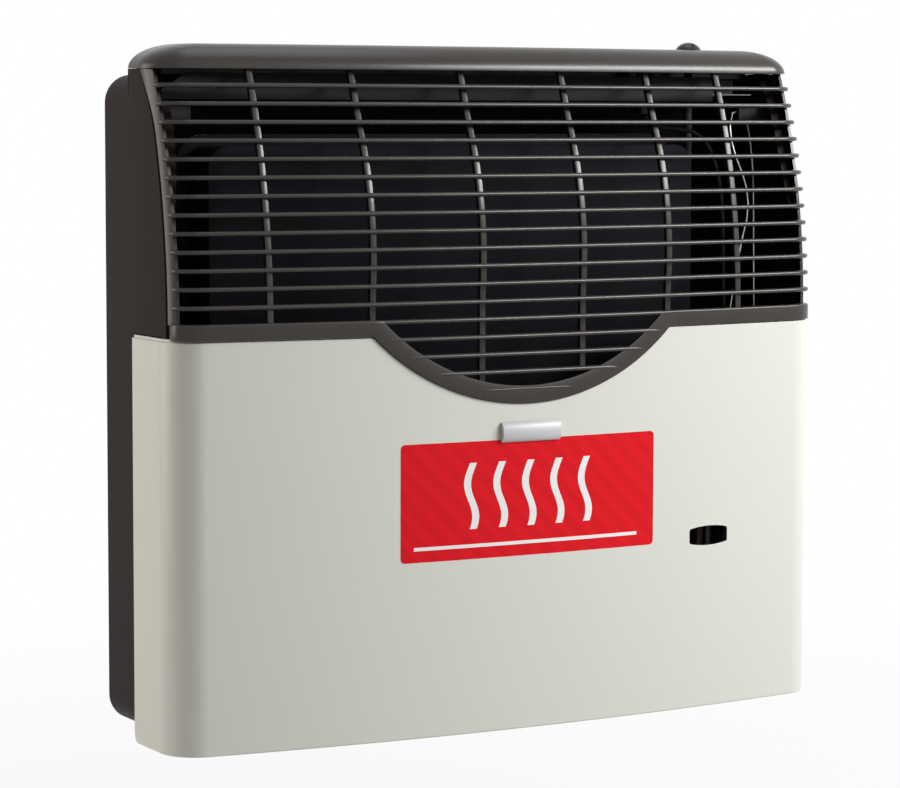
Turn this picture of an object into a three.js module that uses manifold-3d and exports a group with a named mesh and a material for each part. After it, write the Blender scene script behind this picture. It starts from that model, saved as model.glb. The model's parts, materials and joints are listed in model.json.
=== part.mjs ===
// Balanced-flue gas wall heater, in millimetres: X to the right, Y into the wall, Z up.
// Heights are counted from the lower edge of the front cover and depths from the wall (front negative).
// The finished group is lowered so that its origin is the middle of the rear casing's wall face.
import * as THREE from 'three';
import { mergeVertices } from 'three/addons/utils/BufferGeometryUtils.js';
import Module from 'manifold-3d';

const wasm = await Module();
wasm.setup();

// ---------------------------------------------------------------- driving dimensions

// Cabinet
const cabinetWidth = 681;
const cabinetHeight = 599; // up to the underside of the cap
const cornerLineDepth = 156; // from the wall to the line through the front's two corners
const frontBow = 25; // bulge of the front beyond that line
const cornerRadius = 35;
const sheet = 1.2;
const gap = 0.3; // between pieces that touch
const clearance = 0.5; // round a rod in its hole

// Rear casing
const casingInset = 4.8; // from the cabinet's side to the casing's side
const casingBottom = 7.5;
const casingTop = cabinetHeight - 5;
const casingDepth = 75;
const casingCorner = 25;
const wallHoleRadius = 4.5;
const wallHoleMargin = 80.5; // from the cabinet's side
const wallHoleInset = 70; // from the casing's top and bottom

// Front cover
const coverHeight = 363;
const coverBack = 70; // distance from the wall
const coverReturn = 20; // width of the flange along the bottom
const coverRearCorner = 9;
const lipInset = 2;
const lipThickness = 1;
const lipHeight = 2.2;
const archHalfWidth = 156;
const archDrop = 64.5;
const archGap = 0.6;
const viewHoleMargin = 135.5; // from the cabinet's right side
const viewHoleZ = 163.5;
const viewHoleWidth = 42;
const viewHoleHeight = 20.5;
const viewHoleSquareness = 2.8; // 2 is an ellipse

// Side panels
const panelInset = 3.3;
const panelBack = 57;
const panelFront = 20.2; // behind the corner line
const panelOverlap = 18; // down behind the cover
const panelTopGap = 0.3;
const panelFlange = 22;
const panelReturn = 19.5; // width of the flange behind the grille's end, near the top
const panelReturnZ = cabinetHeight - 39; // below it that flange narrows
const panelReturnTaper = 34;
const topSweep = 12; // how far the panel's front edge falls back at the very top
const topSweepHeight = 58;

// Grille
const finPitch = 16;
const finHeight = 4.4;
const finDepth = 11;
const noseProud = 2; // fin noses beyond the cover's face
const railHeight = 14.5;
const railThickness = 2.8;
const railGap = 1;
const grilleFall = 42.7; // the grille leans back along an arc, by this much at its top
const bandWidth = 16.5;
const stripRecess = 5; // end strips behind the fin noses
const stripThickness = 2.5;
const stripInnerForward = 21.2; // from the corner's centre forward to the strip's inner edge
const stripTopForward = 16.9; // the same at the very top
const finTipInset = 4; // how far a fin's tip draws in
const endForward = 12; // fins, rail and strips stop this far in front of each corner's centre
const ribWidth = 3.4;
const ribRecess = 5;
const ribDepth = 8;
const ribPlaces = [-249.5, -151, -41.5, 65, 161, 242];
const topRailHeight = 2.4; // above the cap's rim, inside the cap
const topRailSunk = 0.2; // below it
const topRailDepth = 5;

// Top cap
const capHeight = 22;
const capWall = 1.6;
const capFrontRound = 26;
const capEndRound = 50;
const capBack = 65;
const capBossRadius = 4.5;
const capBossInset = 16;
const capBossY = -72;

// Badge
const badgeWidth = 63;
const badgeHeight = 19.5;
const badgeDepth = 5;
const badgeDrop = 25.5; // below the arch's lowest point

// Heat deflector and grille brackets
const deflectorY = -101.5;
const deflectorLeftMargin = 15; // from the cabinet's left side
const deflectorRightMargin = 87.5;
const deflectorTop = cabinetHeight - 3.6;
const deflectorHeight = 23.4;
const deflectorChamferWidth = 25;
const deflectorChamferHeight = 15;
const deflectorFlangeInset = 21; // from the apron's left end
const deflectorFlangeRightMargin = 180.5;
const deflectorFlangeBack = -40;
const grilleBracketZ = cabinetHeight - 47;
const grilleBracketHeight = 14;
const grilleBracketReach = 44;
const grilleBracketFold = 8; // from the bracket's front edge to its arm

// Cover brackets
const coverBracketX = 192;
const coverBracketWidth = 30;
const coverBracketBack = -20;
const coverScrewInset = 15; // behind the cover's face

// Combustion chamber
const chamberLeft = -cabinetWidth / 2 + 56.5;
const chamberRight = cabinetWidth / 2 - 118; // the control bay lies beyond it
const chamberBottom = 55;
const chamberTop = casingTop - 63;
const chamberFront = -110;
const chamberJoint = -60;
const chamberRear = -24;
const chamberCorner = 18;
const chamberFlange = 10;
const gasketThickness = 2.4;
const baffleBottom = 240;
const baffleTop = chamberTop - 51;
const baffleMargin = 50;
const baffleY = -46;
const baffleFoot = 12;
const chamberBracketBottom = 120;
const chamberBracketTop = chamberTop - 51;
const chamberBracketFoot = 18;

// Flue and air supply
const flueX = -25;
const flueZ = chamberTop - 131;
const flueRadius = 30;
const airRadius = 50;
const spigotWall = 1;
const airSpigotReach = 28; // beyond the wall face
const flueReach = 38;
const flueCollar = 8;
const ductHalfWidth = 60;
const ductBottom = 90;
const airInletHalfWidth = 40;
const airInletHeight = 40;
const airInletRise = 12; // above the duct's floor

// Burner
const burnerY = -82;
const burnerZ = 110;
const burnerRadius = 15;
const burnerWall = 1.5;
const burnerLeft = chamberLeft + 84;
const burnerRight = chamberRight - 57.5;
const burnerSlots = 8;
const burnerSlotWidth = 2;
const burnerSlotLength = 14;
const burnerSlotFirst = burnerLeft + 24;
const burnerSlotPitch = 32;
const burnerBracketPlaces = [burnerLeft + 50, burnerRight - 77];
const burnerBracketHalf = 17;
const burnerBracketFoot = 14;
const bracketSheet = 1.5;
const injectorGap = 8; // injector tip to burner mouth
const injectorLength = 20;
const injectorRadius = 5;
const injectorBore = 1;
const holderRadius = 8;
const holderInside = 16;
const holderOutside = 22;
const holderNutRadius = 11;
const holderNutWidth = 6;

// Pilot group
const pilotY = -102.4;
const pilotShelfZ = 112;
const pilotShelfLeft = 108;
const pilotShelfRight = 152;
const pilotX = 116;
const thermocoupleX = 130;
const electrodeX = 144;
const pilotFoot = 98;
const pilotTop = 136;
const pilotRadius = 3;
const thermocoupleRadius = 2.5;
const electrodeRadius = 2.6;
const pilotPipeExitZ = 76;
const thermocoupleExitZ = 84;
const cableExitZ = 92;

// Burner door and sight glass, on the chamber's front
const doorCentreX = 25;
const doorCentreZ = 98;
const doorWidth = 220;
const doorHeight = 66;
const doorRim = 14; // at the ends, where the screws are
const doorEdge = 11; // above and below
const doorGasket = 2;
const doorSealOverlap = 2; // how far the seal reaches over the opening's edge
const screwRadius = 2;
const screwHeadRadius = 3.8;
const screwHeadHeight = 1.8;
const screwLength = 8;
const sightX = chamberRight - 34.5;
const sightZ = 160;
const sightWidth = 24;
const sightHeight = 16;
const glassRim = 4;
const glassThickness = 1.4;
const sightFrameRim = 9;
const sightFrameStep = 1.6;

// Gas valve and control
const knobX = chamberRight + 11.9;
const knobY = -85.6;
const knobRadius = 13;
const knobTopAboveCap = 7.4;
const knobHeight = 17;
const knobDomeRise = 11;
const knobTravel = 5;
const wellGap = 2.5; // between knob and well
const wellWall = 1.2;
const wellFlange = 1.7;
const wellFloorGap = 1.5; // left under the pressed knob
const spindleRadius = 4;
const spindleFlat = 3;
const knobSocketDepth = 9;
const collarRadius = 6.5;
const collarHeight = 5;
const valveLeft = chamberRight + 3.5;
const valveWidth = 60;
const valveFront = -122;
const valveBack = -66;
const valveBottom = 205;
const valveHeight = 70;
const valveNeckRadius = 8.5;
const valveNeckHeight = 25;
const spindleSunk = 6; // spindle end below the valve's top face
const valveShelfLeft = valveLeft + 36;
const valveShelfWidth = 48;
const valveShelfDrop = 44;
const controlBracketZ = cabinetHeight - 21;
const controlBracketLeft = chamberRight - 54.5;
const controlBracketWidth = 132;
const controlBracketFront = -97.5;
const controlBracketStep = -66;
const controlBracketBack = -30;

// Piezo igniter
const igniterX = chamberRight - 38.5;
const igniterY = -86;
const igniterRadius = 8;
const igniterBottom = controlBracketZ - 18;
const igniterTop = controlBracketZ + 28;
const igniterCollarRadius = 11;
const igniterCollarHeight = 4;
const igniterNutHeight = 4.5;
const igniterNutRadius = 12;
const buttonHeadRadius = 7.4;
const buttonHeadHeight = 8;
const buttonStemRadius = 5;
const buttonStemLength = 20;
const buttonTravel = 5;
const buttonHoleGap = 1;

// Gas piping and thermostat
const inletX = valveLeft + 49;
const inletY = -95;
const inletRadius = 8;
const inletBore = 6.5;
const inletBottom = 38;
const unionRadius = 15;
const unionHeight = 24;
const manifoldRadius = 4;
const manifoldTop = new THREE.Vector2(valveLeft + 30, -95);
const pilotPipeRadius = 2;
const pilotPipeTop = new THREE.Vector2(valveLeft + 14, -102);
const leadRadius = 1.3;
const leadTop = new THREE.Vector2(valveLeft + 11, -112);
const cableRadius = 2.2;
const capillaryRadius = 1;
const capillaryStart = new THREE.Vector2(valveLeft + 44, -100);
const bulbRadius = 4.5;
const bulbLength = 90;
const bulbRight = 150;
const bulbY = -120;
const bulbZ = 30;
const clipX = 105;
const clipWidth = 14;
const clipBack = -40;

// ---------------------------------------------------------------- materials

function finish(color, roughness, metalness) {
  return new THREE.MeshStandardMaterial({ color, roughness, metalness });
}

const creamPaint = finish(0xdedbd0, 0.4, 0);
const brownPaint = finish(0x3a3131, 0.45, 0.1);
const bronzeMoulding = finish(0x4b423c, 0.35, 0.3);
const blackEnamel = finish(0x1c1b20, 0.5, 0.1);
const darkSteel = finish(0x323232, 0.5, 0.6);
const zincSteel = finish(0x8d9093, 0.4, 0.8);
const silverPlastic = finish(0xe8e8ea, 0.3, 0.2);
const blackPlastic = finish(0x121212, 0.35, 0);
const aluminium = finish(0xa8abad, 0.4, 0.9);
const brass = finish(0xb08a45, 0.35, 0.9);
const copper = finish(0xa8674a, 0.35, 0.9);
const fibre = finish(0xc9c2b0, 0.9, 0);
const ceramic = finish(0xe6e1d6, 0.5, 0);
const glass = finish(0xb9c4c6, 0.1, 0);
const blackRubber = finish(0x1a1a1c, 0.7, 0);

// ---------------------------------------------------------------- solids

function solid(geometry) {
  const bare = geometry.clone();
  bare.deleteAttribute('normal');
  bare.deleteAttribute('uv');
  const merged = mergeVertices(bare, 1e-4);
  return new wasm.Manifold(new wasm.Mesh({
    numProp: 3,
    vertProperties: new Float32Array(merged.attributes.position.array),
    triVerts: new Uint32Array(merged.index.array),
  }));
}

function join(...solids) {
  return solids.reduce((whole, next) => whole.add(next));
}

function cut(body, ...tools) {
  return tools.reduce((rest, tool) => rest.subtract(tool), body);
}

function block(x0, x1, y0, y1, z0, z1) {
  const box = new THREE.BoxGeometry(Math.abs(x1 - x0), y1 - y0, z1 - z0);
  return solid(box.translate((x0 + x1) / 2, (y0 + y1) / 2, (z0 + z1) / 2));
}

// A round rod from one point to another.
function rod(radius, from, to, sides = 16) {
  const axis = new THREE.Vector3().subVectors(to, from);
  const cylinder = new THREE.CylinderGeometry(radius, radius, axis.length(), sides);
  const turn = new THREE.Quaternion().setFromUnitVectors(at(0, 1, 0), axis.clone().normalize());
  const middle = new THREE.Vector3().addVectors(from, to).multiplyScalar(0.5);
  return solid(cylinder.applyQuaternion(turn).translate(middle.x, middle.y, middle.z));
}

function at(x, y, z) {
  return new THREE.Vector3(x, y, z);
}

function uprightRod(radius, x, y, z0, z1, sides) {
  return rod(radius, at(x, y, z0), at(x, y, z1), sides);
}

function rodAlongY(radius, x, z, y0, y1, sides) {
  return rod(radius, at(x, y0, z), at(x, y1, z), sides);
}

function rodAlongX(radius, y, z, x0, x1, sides) {
  return rod(radius, at(x0, y, z), at(x1, y, z), sides);
}

const outlineSteps = 3;

function extruded(shape, length) {
  const settings = { depth: length, bevelEnabled: false, curveSegments: outlineSteps };
  return new THREE.ExtrudeGeometry(shape, settings);
}

// A shape drawn in X and Y, standing from z0 to z1.
function upright(shape, z0, z1) {
  return solid(extruded(shape, z1 - z0).translate(0, 0, z0));
}

// A shape drawn in X and Z, reaching from y0 to y1.
function frontal(shape, y0, y1) {
  return solid(extruded(shape, y1 - y0).rotateX(Math.PI / 2).translate(0, y1, 0));
}

// A shape drawn in Y and Z, reaching from x0 to x1.
function sideways(shape, x0, x1) {
  const turn = new THREE.Matrix4().makeBasis(at(0, 1, 0), at(0, 0, 1), at(1, 0, 0));
  return solid(extruded(shape, Math.abs(x1 - x0)).applyMatrix4(turn).translate(Math.min(x0, x1), 0, 0));
}

function polygon(points) {
  return new THREE.Shape(points.map(([a, b]) => new THREE.Vector2(a, b)));
}

function rectangle(a0, a1, b0, b1) {
  return polygon([[a0, b0], [a1, b0], [a1, b1], [a0, b1]]);
}

function roundedRectangle(a0, a1, b0, b1, radius) {
  const shape = new THREE.Shape();
  shape.moveTo(a0 + radius, b0);
  shape.absarc(a1 - radius, b0 + radius, radius, -Math.PI / 2, 0, false);
  shape.absarc(a1 - radius, b1 - radius, radius, 0, Math.PI / 2, false);
  shape.absarc(a0 + radius, b1 - radius, radius, Math.PI / 2, Math.PI, false);
  shape.absarc(a0 + radius, b0 + radius, radius, Math.PI, 1.5 * Math.PI, false);
  return shape;
}

// A closed profile of radius and height turned about an upright axis.
function turned(profile, x, y, sides = 24) {
  const points = profile.map(([r, z]) => new THREE.Vector2(r, z));
  if (profile[0][0] > 0) points.push(points[0].clone());
  const lathe = new THREE.LatheGeometry(points, sides).rotateX(Math.PI / 2);
  const body = solid(lathe);
  const upwards = body.volume() > 0 ? body : solid(flipped(lathe));
  return upwards.translate([x, y, 0]);
}

function flipped(geometry) {
  const copy = geometry.clone();
  const index = Array.from(copy.index.array);
  for (let i = 0; i < index.length; i += 3) {
    [index[i], index[i + 1]] = [index[i + 1], index[i]];
  }
  copy.setIndex(index);
  return copy;
}

// A round tube or wire through hand-chosen points.
function wire(radius, points, steps, sides = 8) {
  const path = new THREE.CatmullRomCurve3(points, false, 'centripetal');
  const section = polygon(Array.from({ length: sides }, (_, i) => {
    const angle = 2 * Math.PI * i / sides;
    return [radius * Math.cos(angle), radius * Math.sin(angle)];
  }));
  return solid(new THREE.ExtrudeGeometry(section, { steps, extrudePath: path, bevelEnabled: false }));
}

// A skin over level rings of equal point count, closed below and above.
function lofted(rings) {
  const count = rings[0].length;
  const positions = rings.flat().flatMap((p) => [p.x, p.y, p.z]);
  const flat = (ring) => ring.map((p) => new THREE.Vector2(p.x, p.y));
  const anticlockwise = !THREE.ShapeUtils.isClockWise(flat(rings[0]));
  const triangles = [];
  const face = (a, b, c) => triangles.push(...(anticlockwise ? [a, b, c] : [a, c, b]));
  for (let level = 0; level < rings.length - 1; level++) {
    for (let i = 0; i < count; i++) {
      const next = (i + 1) % count;
      const low = level * count;
      const high = low + count;
      face(low + i, low + next, high + next);
      face(low + i, high + next, high + i);
    }
  }
  const top = (rings.length - 1) * count;
  for (const [a, b, c] of THREE.ShapeUtils.triangulateShape(flat(rings[0]), [])) {
    triangles.push(a, c, b);
  }
  for (const [a, b, c] of THREE.ShapeUtils.triangulateShape(flat(rings.at(-1)), [])) {
    triangles.push(top + a, top + b, top + c);
  }
  const geometry = new THREE.BufferGeometry();
  geometry.setAttribute('position', new THREE.Float32BufferAttribute(positions, 3));
  geometry.setIndex(triangles);
  return solid(geometry);
}

// ---------------------------------------------------------------- cabinet outline

const halfWidth = cabinetWidth / 2;
const degree = Math.PI / 180;
const bowRadius = (halfWidth ** 2 + frontBow ** 2) / (2 * frontBow);
const bowCentreY = bowRadius - cornerLineDepth - frontBow;
const cornerX = halfWidth - cornerRadius;
const cornerY = bowCentreY - Math.sqrt((bowRadius - cornerRadius) ** 2 - cornerX ** 2);
const bowHalfAngle = Math.asin(cornerX / (bowRadius - cornerRadius));
const bowSteps = 8;
const cornerSteps = 3;

// Front depth of the bow at x, a given distance inside its face.
function bowY(x, inset = 0) {
  return bowCentreY - Math.sqrt((bowRadius - inset) ** 2 - x ** 2);
}

// Points of one corner, from a given distance in front of its centre to the bow.
// side is -1 on the left and 1 on the right.
function cornerPath(side, inset, forward, toAngle = 90 - bowHalfAngle / degree) {
  const radius = cornerRadius - inset;
  const fromAngle = Math.asin(forward / radius) / degree;
  return Array.from({ length: cornerSteps + 1 }, (_, i) => {
    const angle = (fromAngle + (toAngle - fromAngle) * i / cornerSteps) * degree;
    return [side * (cornerX + radius * Math.cos(angle)), cornerY - radius * Math.sin(angle)];
  });
}

// The whole front from left to right, ending on both corners at that distance in front of their centres.
function wrapPath(inset, forward) {
  const radius = bowRadius - inset;
  const bow = Array.from({ length: bowSteps - 1 }, (_, i) => {
    const angle = bowHalfAngle * (2 * (i + 1) / bowSteps - 1);
    return [radius * Math.sin(angle), bowCentreY - radius * Math.cos(angle)];
  });
  return [...cornerPath(-1, inset, forward), ...bow, ...cornerPath(1, inset, forward).reverse()];
}

// A wall that wraps the front, between two insets.
function wrapBand(outer, inner, forward) {
  return [...wrapPath(outer, forward), ...wrapPath(inner, forward).reverse()];
}

// The same wall with straight sides running back towards the wall.
function wrapWall(outer, inner, back) {
  return polygon([
    [-halfWidth + outer, back],
    ...wrapPath(outer, 0),
    [halfWidth - outer, back],
    [halfWidth - inner, back],
    ...wrapPath(inner, 0).reverse(),
    [-halfWidth + inner, back],
  ]);
}

// Grille heights and its backward lean.
const railBottom = coverHeight + railGap;
const railTop = railBottom + railHeight;
const lowestFullFin = railTop - finHeight / 2;
const archLow = coverHeight - archDrop;
const archRadius = (archHalfWidth ** 2 + archDrop ** 2) / (2 * archDrop);
const archCentreZ = archLow + archRadius;

const fullFins = Math.floor((cabinetHeight - lowestFullFin) / finPitch); // above the rail's own
const archFins = Math.floor((lowestFullFin - archLow - bandWidth) / finPitch);
const leanRise = cabinetHeight - lowestFullFin;
const leanRadius = (leanRise ** 2 + grilleFall ** 2) / (2 * grilleFall);

function lean(z) {
  const rise = Math.max(z - lowestFullFin, 0);
  return leanRadius - Math.sqrt(leanRadius ** 2 - rise ** 2);
}

// Extra fall-back of the panels' front edges near the top.
function topFall(z) {
  const share = Math.max(z - (cabinetHeight - topSweepHeight), 0) / topSweepHeight;
  return topSweep * share ** 2;
}

// ---------------------------------------------------------------- cabinet pieces

const casingHalf = halfWidth - casingInset;
const casingMiddle = (casingBottom + casingTop) / 2;
const casingFloor = casingBottom + sheet + gap; // what stands on the casing's floor starts here
const casingCeiling = casingTop - sheet - gap;
const casingBackFace = -sheet - gap;

function rearCasing() {
  const outer = roundedRectangle(-casingHalf, casingHalf, casingBottom, casingTop, casingCorner);
  const inner = roundedRectangle(
    -casingHalf + sheet, casingHalf - sheet, casingBottom + sheet, casingTop - sheet, casingCorner - sheet);
  const holes = [];
  for (const x of [wallHoleMargin - halfWidth, halfWidth - wallHoleMargin]) {
    for (const z of [casingBottom + wallHoleInset, casingTop - wallHoleInset]) {
      holes.push(rodAlongY(wallHoleRadius, x, z, -2 * sheet, 1, 16));
    }
  }
  const flueHole = rodAlongY(airRadius + gap, flueX, flueZ, -2 * sheet, 1, 40);
  const tray = cut(frontal(outer, -casingDepth, 0), frontal(inner, -casingDepth - 1, -sheet));
  return cut(tray, flueHole, ...holes);
}

function archOutline(radius, top) {
  const reach = Math.asin(Math.min((archCentreZ - top) / radius, 1));
  const shape = new THREE.Shape();
  const steps = 28;
  for (let i = 0; i <= steps; i++) {
    const angle = Math.PI + reach + (Math.PI - 2 * reach) * i / steps;
    const x = radius * Math.cos(angle);
    const z = archCentreZ + radius * Math.sin(angle);
    if (i === 0) shape.moveTo(x, z);
    else shape.lineTo(x, z);
  }
  return shape;
}

function archPrism(radius, top, rise) {
  const shape = archOutline(radius, top);
  const [first, last] = [shape.getPoints()[0], shape.getPoints().at(-1)];
  shape.lineTo(last.x, top + rise);
  shape.lineTo(first.x, top + rise);
  return frontal(shape, -cornerLineDepth - frontBow - 2 * noseProud, -cornerLineDepth + cornerRadius);
}

function viewHole() {
  const middle = halfWidth - viewHoleMargin;
  const points = Array.from({ length: 28 }, (_, i) => {
    const angle = 2 * Math.PI * i / 28;
    const squared = (v) => Math.sign(v) * Math.abs(v) ** (2 / viewHoleSquareness);
    return [
      middle + viewHoleWidth / 2 * squared(Math.cos(angle)),
      viewHoleZ + viewHoleHeight / 2 * squared(Math.sin(angle)),
    ];
  });
  return frontal(polygon(points), -cornerLineDepth - frontBow - 1, -cornerLineDepth + cornerRadius);
}

// Takes a square lower rear corner off both sides and leaves it round.
function rearCornerCutter() {
  const r = coverRearCorner;
  const shape = new THREE.Shape();
  shape.moveTo(-coverBack + 1, -1);
  shape.lineTo(-coverBack + 1, r);
  shape.lineTo(-coverBack, r);
  shape.absarc(-coverBack - r, r, r, 0, -Math.PI / 2, true);
  shape.lineTo(-coverBack - r, -1);
  return sideways(shape, -halfWidth - 1, halfWidth + 1);
}

function screwPlace(side) {
  return [side * coverBracketX, bowY(coverBracketX, coverScrewInset)];
}

function frontCover() {
  const wall = upright(wrapWall(0, sheet, -coverBack), 0, coverHeight);
  const foot = upright(wrapWall(sheet / 2, coverReturn, -coverBack), 0, sheet);
  const shelf = coverHeight - sheet;
  const shoulder = upright(wrapWall(sheet / 2, lipInset + lipThickness, -coverBack), shelf, coverHeight);
  const lip = upright(
    wrapWall(lipInset, lipInset + lipThickness, -coverBack), shelf, coverHeight + lipHeight);
  const screwHoles = [-1, 1].map((side) => {
    const [x, y] = screwPlace(side);
    return uprightRod(screwRadius + clearance, x, y, -1, 2 * sheet, 16);
  });
  return cut(
    join(wall, foot, shoulder, lip),
    archPrism(archRadius, coverHeight, lipHeight + 1), viewHole(), rearCornerCutter(), ...screwHoles);
}

const panelTop = cabinetHeight - panelTopGap;

function panelEdge(z) {
  return -cornerLineDepth + panelFront + lean(z) + topFall(z);
}

function sidePanel(side) {
  const outer = halfWidth - panelInset;
  const shoulder = coverHeight + 2 * lipHeight; // below it the panel stays behind the cover's corner
  const low = coverHeight - panelOverlap;
  const edge = Array.from({ length: 13 }, (_, i) => {
    const z = shoulder + (panelTop - shoulder) * i / 12;
    return [panelEdge(z), z];
  });
  const plate = polygon([[-panelBack, low], [cornerY + sheet, low], [cornerY + sheet, shoulder], ...edge,
    [-panelBack, panelTop]]);
  const flange = lofted(edge.map(([y, z]) => {
    const narrowing = Math.max(panelReturnZ - z, 0) / panelReturnTaper;
    const inner = outer - Math.max(panelReturn - narrowing ** 2, 2 * sheet);
    return level(
      [[side * outer, y], [side * inner, y], [side * inner, y + sheet], [side * outer, y + sheet]], z);
  }));
  const flangeFront = panelEdge(panelTop) + sheet / 2;
  const hole = uprightRod(screwRadius + clearance, side * (halfWidth - capBossInset), capBossY,
    panelTop - 2 * sheet, panelTop + 1, 16);
  return cut(
    join(
      sideways(plate, side * (outer - sheet), side * outer),
      flange,
      block(side * (outer - panelFlange), side * outer, flangeFront, -panelBack,
        panelTop - sheet, panelTop)),
    hole);
}

// ---------------------------------------------------------------- grille

function level(points, z, shiftY = 0) {
  return points.map(([x, y]) => at(x, y + shiftY, z));
}

// A fin is a level slab round the middle height z.
function finSlab(points, z) {
  return lofted([level(points, z - finHeight / 2, lean(z)), level(points, z + finHeight / 2, lean(z))]);
}

// A fin's nose, drawn in towards the corners' centres at its two tips.
function finNose() {
  const path = wrapPath(-noseProud, endForward);
  return path.map(([x, y], i) => {
    const fromTip = Math.min(i, path.length - 1 - i);
    const inset = finTipInset * Math.max(1 - fromTip / cornerSteps, 0) ** 4;
    const centre = Math.sign(x) * cornerX;
    const share = inset / Math.hypot(x - centre, y - cornerY);
    return [x + (centre - x) * share, y + (cornerY - y) * share];
  });
}

function fullFin(z) {
  return finSlab([...finNose(), ...wrapPath(finDepth - noseProud, endForward).reverse()], z);
}

// A fin inside the arch runs on the bow only.
function archFin(z, halfLength) {
  const steps = 8;
  const path = (inset) => Array.from({ length: steps + 1 }, (_, i) => {
    const x = halfLength * (2 * i / steps - 1);
    return [x, bowY(x, inset)];
  });
  return finSlab([...path(-noseProud), ...path(finDepth - noseProud).reverse()], z);
}

function endStrip(side) {
  const levels = 13;
  const outer = stripRecess - noseProud;
  const rings = Array.from({ length: levels }, (_, i) => {
    const z = railTop - 1 + (cabinetHeight + topRailHeight - railTop) * i / (levels - 1);
    const start = endForward * (1 - topFall(z) / topSweep);
    const rise = Math.max(z - railTop, 0) / (cabinetHeight - railTop);
    const end = stripInnerForward + (stripTopForward - stripInnerForward) * rise ** 2;
    const path = (inset) => (
      cornerPath(side, inset, start, Math.asin(end / (cornerRadius - inset)) / degree));
    const points = [...path(outer), ...path(outer + stripThickness).reverse()];
    return level(points, z, lean(z));
  });
  return lofted(rings);
}

function rib(x) {
  const inside = Math.abs(x) < archHalfWidth - bandWidth;
  const bottom = inside
    ? archCentreZ - Math.sqrt((archRadius - bandWidth / 2) ** 2 - x ** 2)
    : railTop - railHeight / 2;
  const levels = 4;
  const rings = Array.from({ length: levels + 1 }, (_, i) => {
    const z = bottom + (cabinetHeight + topRailHeight / 2 - bottom) * i / levels;
    const front = bowY(x, ribRecess - noseProud);
    const back = front + ribDepth;
    const half = ribWidth / 2;
    return level([[x - half, front], [x + half, front], [x + half, back], [x - half, back]], z, lean(z));
  });
  return lofted(rings);
}

function grille() {
  const band = wrapBand(-noseProud, railThickness - noseProud, endForward);
  const face = upright(polygon(band), archLow, railTop);
  const front = -cornerLineDepth - frontBow - 3 * noseProud;
  const railSlab = block(-halfWidth, halfWidth, front, 0, railBottom, railTop);
  const lobe = archPrism(archRadius - archGap, coverHeight, 2 * railGap);
  const opening = archPrism(archRadius - bandWidth, railTop - finHeight, 2 * finHeight);
  const frame = cut(face.intersect(join(railSlab, lobe)), opening);
  const fins = [];
  for (let i = 0; i <= fullFins; i++) {
    fins.push(fullFin(lowestFullFin + i * finPitch));
  }
  for (let i = 1; i <= archFins; i++) {
    const z = lowestFullFin - i * finPitch;
    const reach = Math.sqrt((archRadius - bandWidth / 2) ** 2 - (archCentreZ - z) ** 2);
    fins.push(archFin(z, reach));
  }
  const topLean = lean(cabinetHeight);
  const recess = stripRecess - noseProud;
  const topBand = wrapBand(recess, recess + topRailDepth, endForward);
  const topRail = lofted([-topRailSunk, topRailHeight].map((rise) => (
    level(topBand, cabinetHeight + rise, topLean))));
  return join(frame, ...fins, endStrip(-1), endStrip(1), topRail, ...ribPlaces.map(rib));
}

// ---------------------------------------------------------------- top cap

const capTop = cabinetHeight + capHeight;

// One level of the cap's outline: turn 0 is the rim and 90 the flat top.
function capRing(turn, wall) {
  const inward = 1 - Math.cos(turn * degree);
  const inset = wall + capFrontRound * inward;
  const half = halfWidth - wall - capEndRound * inward;
  const path = wrapPath(inset, 0);
  const stretch = half / path.at(-1)[0];
  const shift = lean(cabinetHeight) - noseProud;
  const z = cabinetHeight + (capHeight - wall) * Math.sin(turn * degree);
  const back = -capBack - wall;
  const front = path.map(([x, y]) => [x * stretch, Math.min(y + shift, back - 1)]);
  return level([[-half, back], ...front, [half, back]], z);
}

function capBody(wall) {
  const rings = [0, 18, 36, 54, 72, 90].map((turn) => capRing(turn, wall));
  if (wall > 0) rings.unshift(rings[0].map((p) => at(p.x, p.y, p.z - 1)));
  return lofted(rings);
}

function topCap() {
  const boss = (side) => {
    const x = side * (halfWidth - capBossInset);
    const post = uprightRod(capBossRadius, x, capBossY, cabinetHeight, capTop, 16).intersect(capBody(0));
    const pilot = uprightRod(
      screwRadius + gap, x, capBossY, cabinetHeight - 1, cabinetHeight + screwLength, 16);
    return cut(post, pilot);
  };
  const knobHole = uprightRod(knobRadius + wellGap, knobX, knobY, cabinetHeight, capTop + 1, 32);
  const buttonHole = uprightRod(
    buttonHeadRadius + buttonHoleGap, igniterX, igniterY, cabinetHeight, capTop + 1, 24);
  // the back wall reaches down to the casing, between the side panels' flanges
  const skirtHalf = halfWidth - panelInset - panelFlange - clearance;
  const skirt = block(-skirtHalf, skirtHalf, -capBack - capWall, -capBack,
    casingTop + gap, cabinetHeight + capWall);
  return cut(join(cut(capBody(0), capBody(capWall)), skirt, boss(-1), boss(1)), knobHole, buttonHole);
}

function badgePlate() {
  const badgeZ = archLow - badgeDrop;
  const back = bowY(0) - gap;
  const shape = new THREE.Shape();
  shape.moveTo(back, badgeZ - badgeHeight / 2);
  shape.lineTo(back, badgeZ + badgeHeight / 2);
  shape.absellipse(back, badgeZ, badgeDepth, badgeHeight / 2, Math.PI / 2, 1.5 * Math.PI, false);
  return sideways(shape, -badgeWidth / 2, badgeWidth / 2);
}

// ---------------------------------------------------------------- sheet-metal fittings

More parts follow.
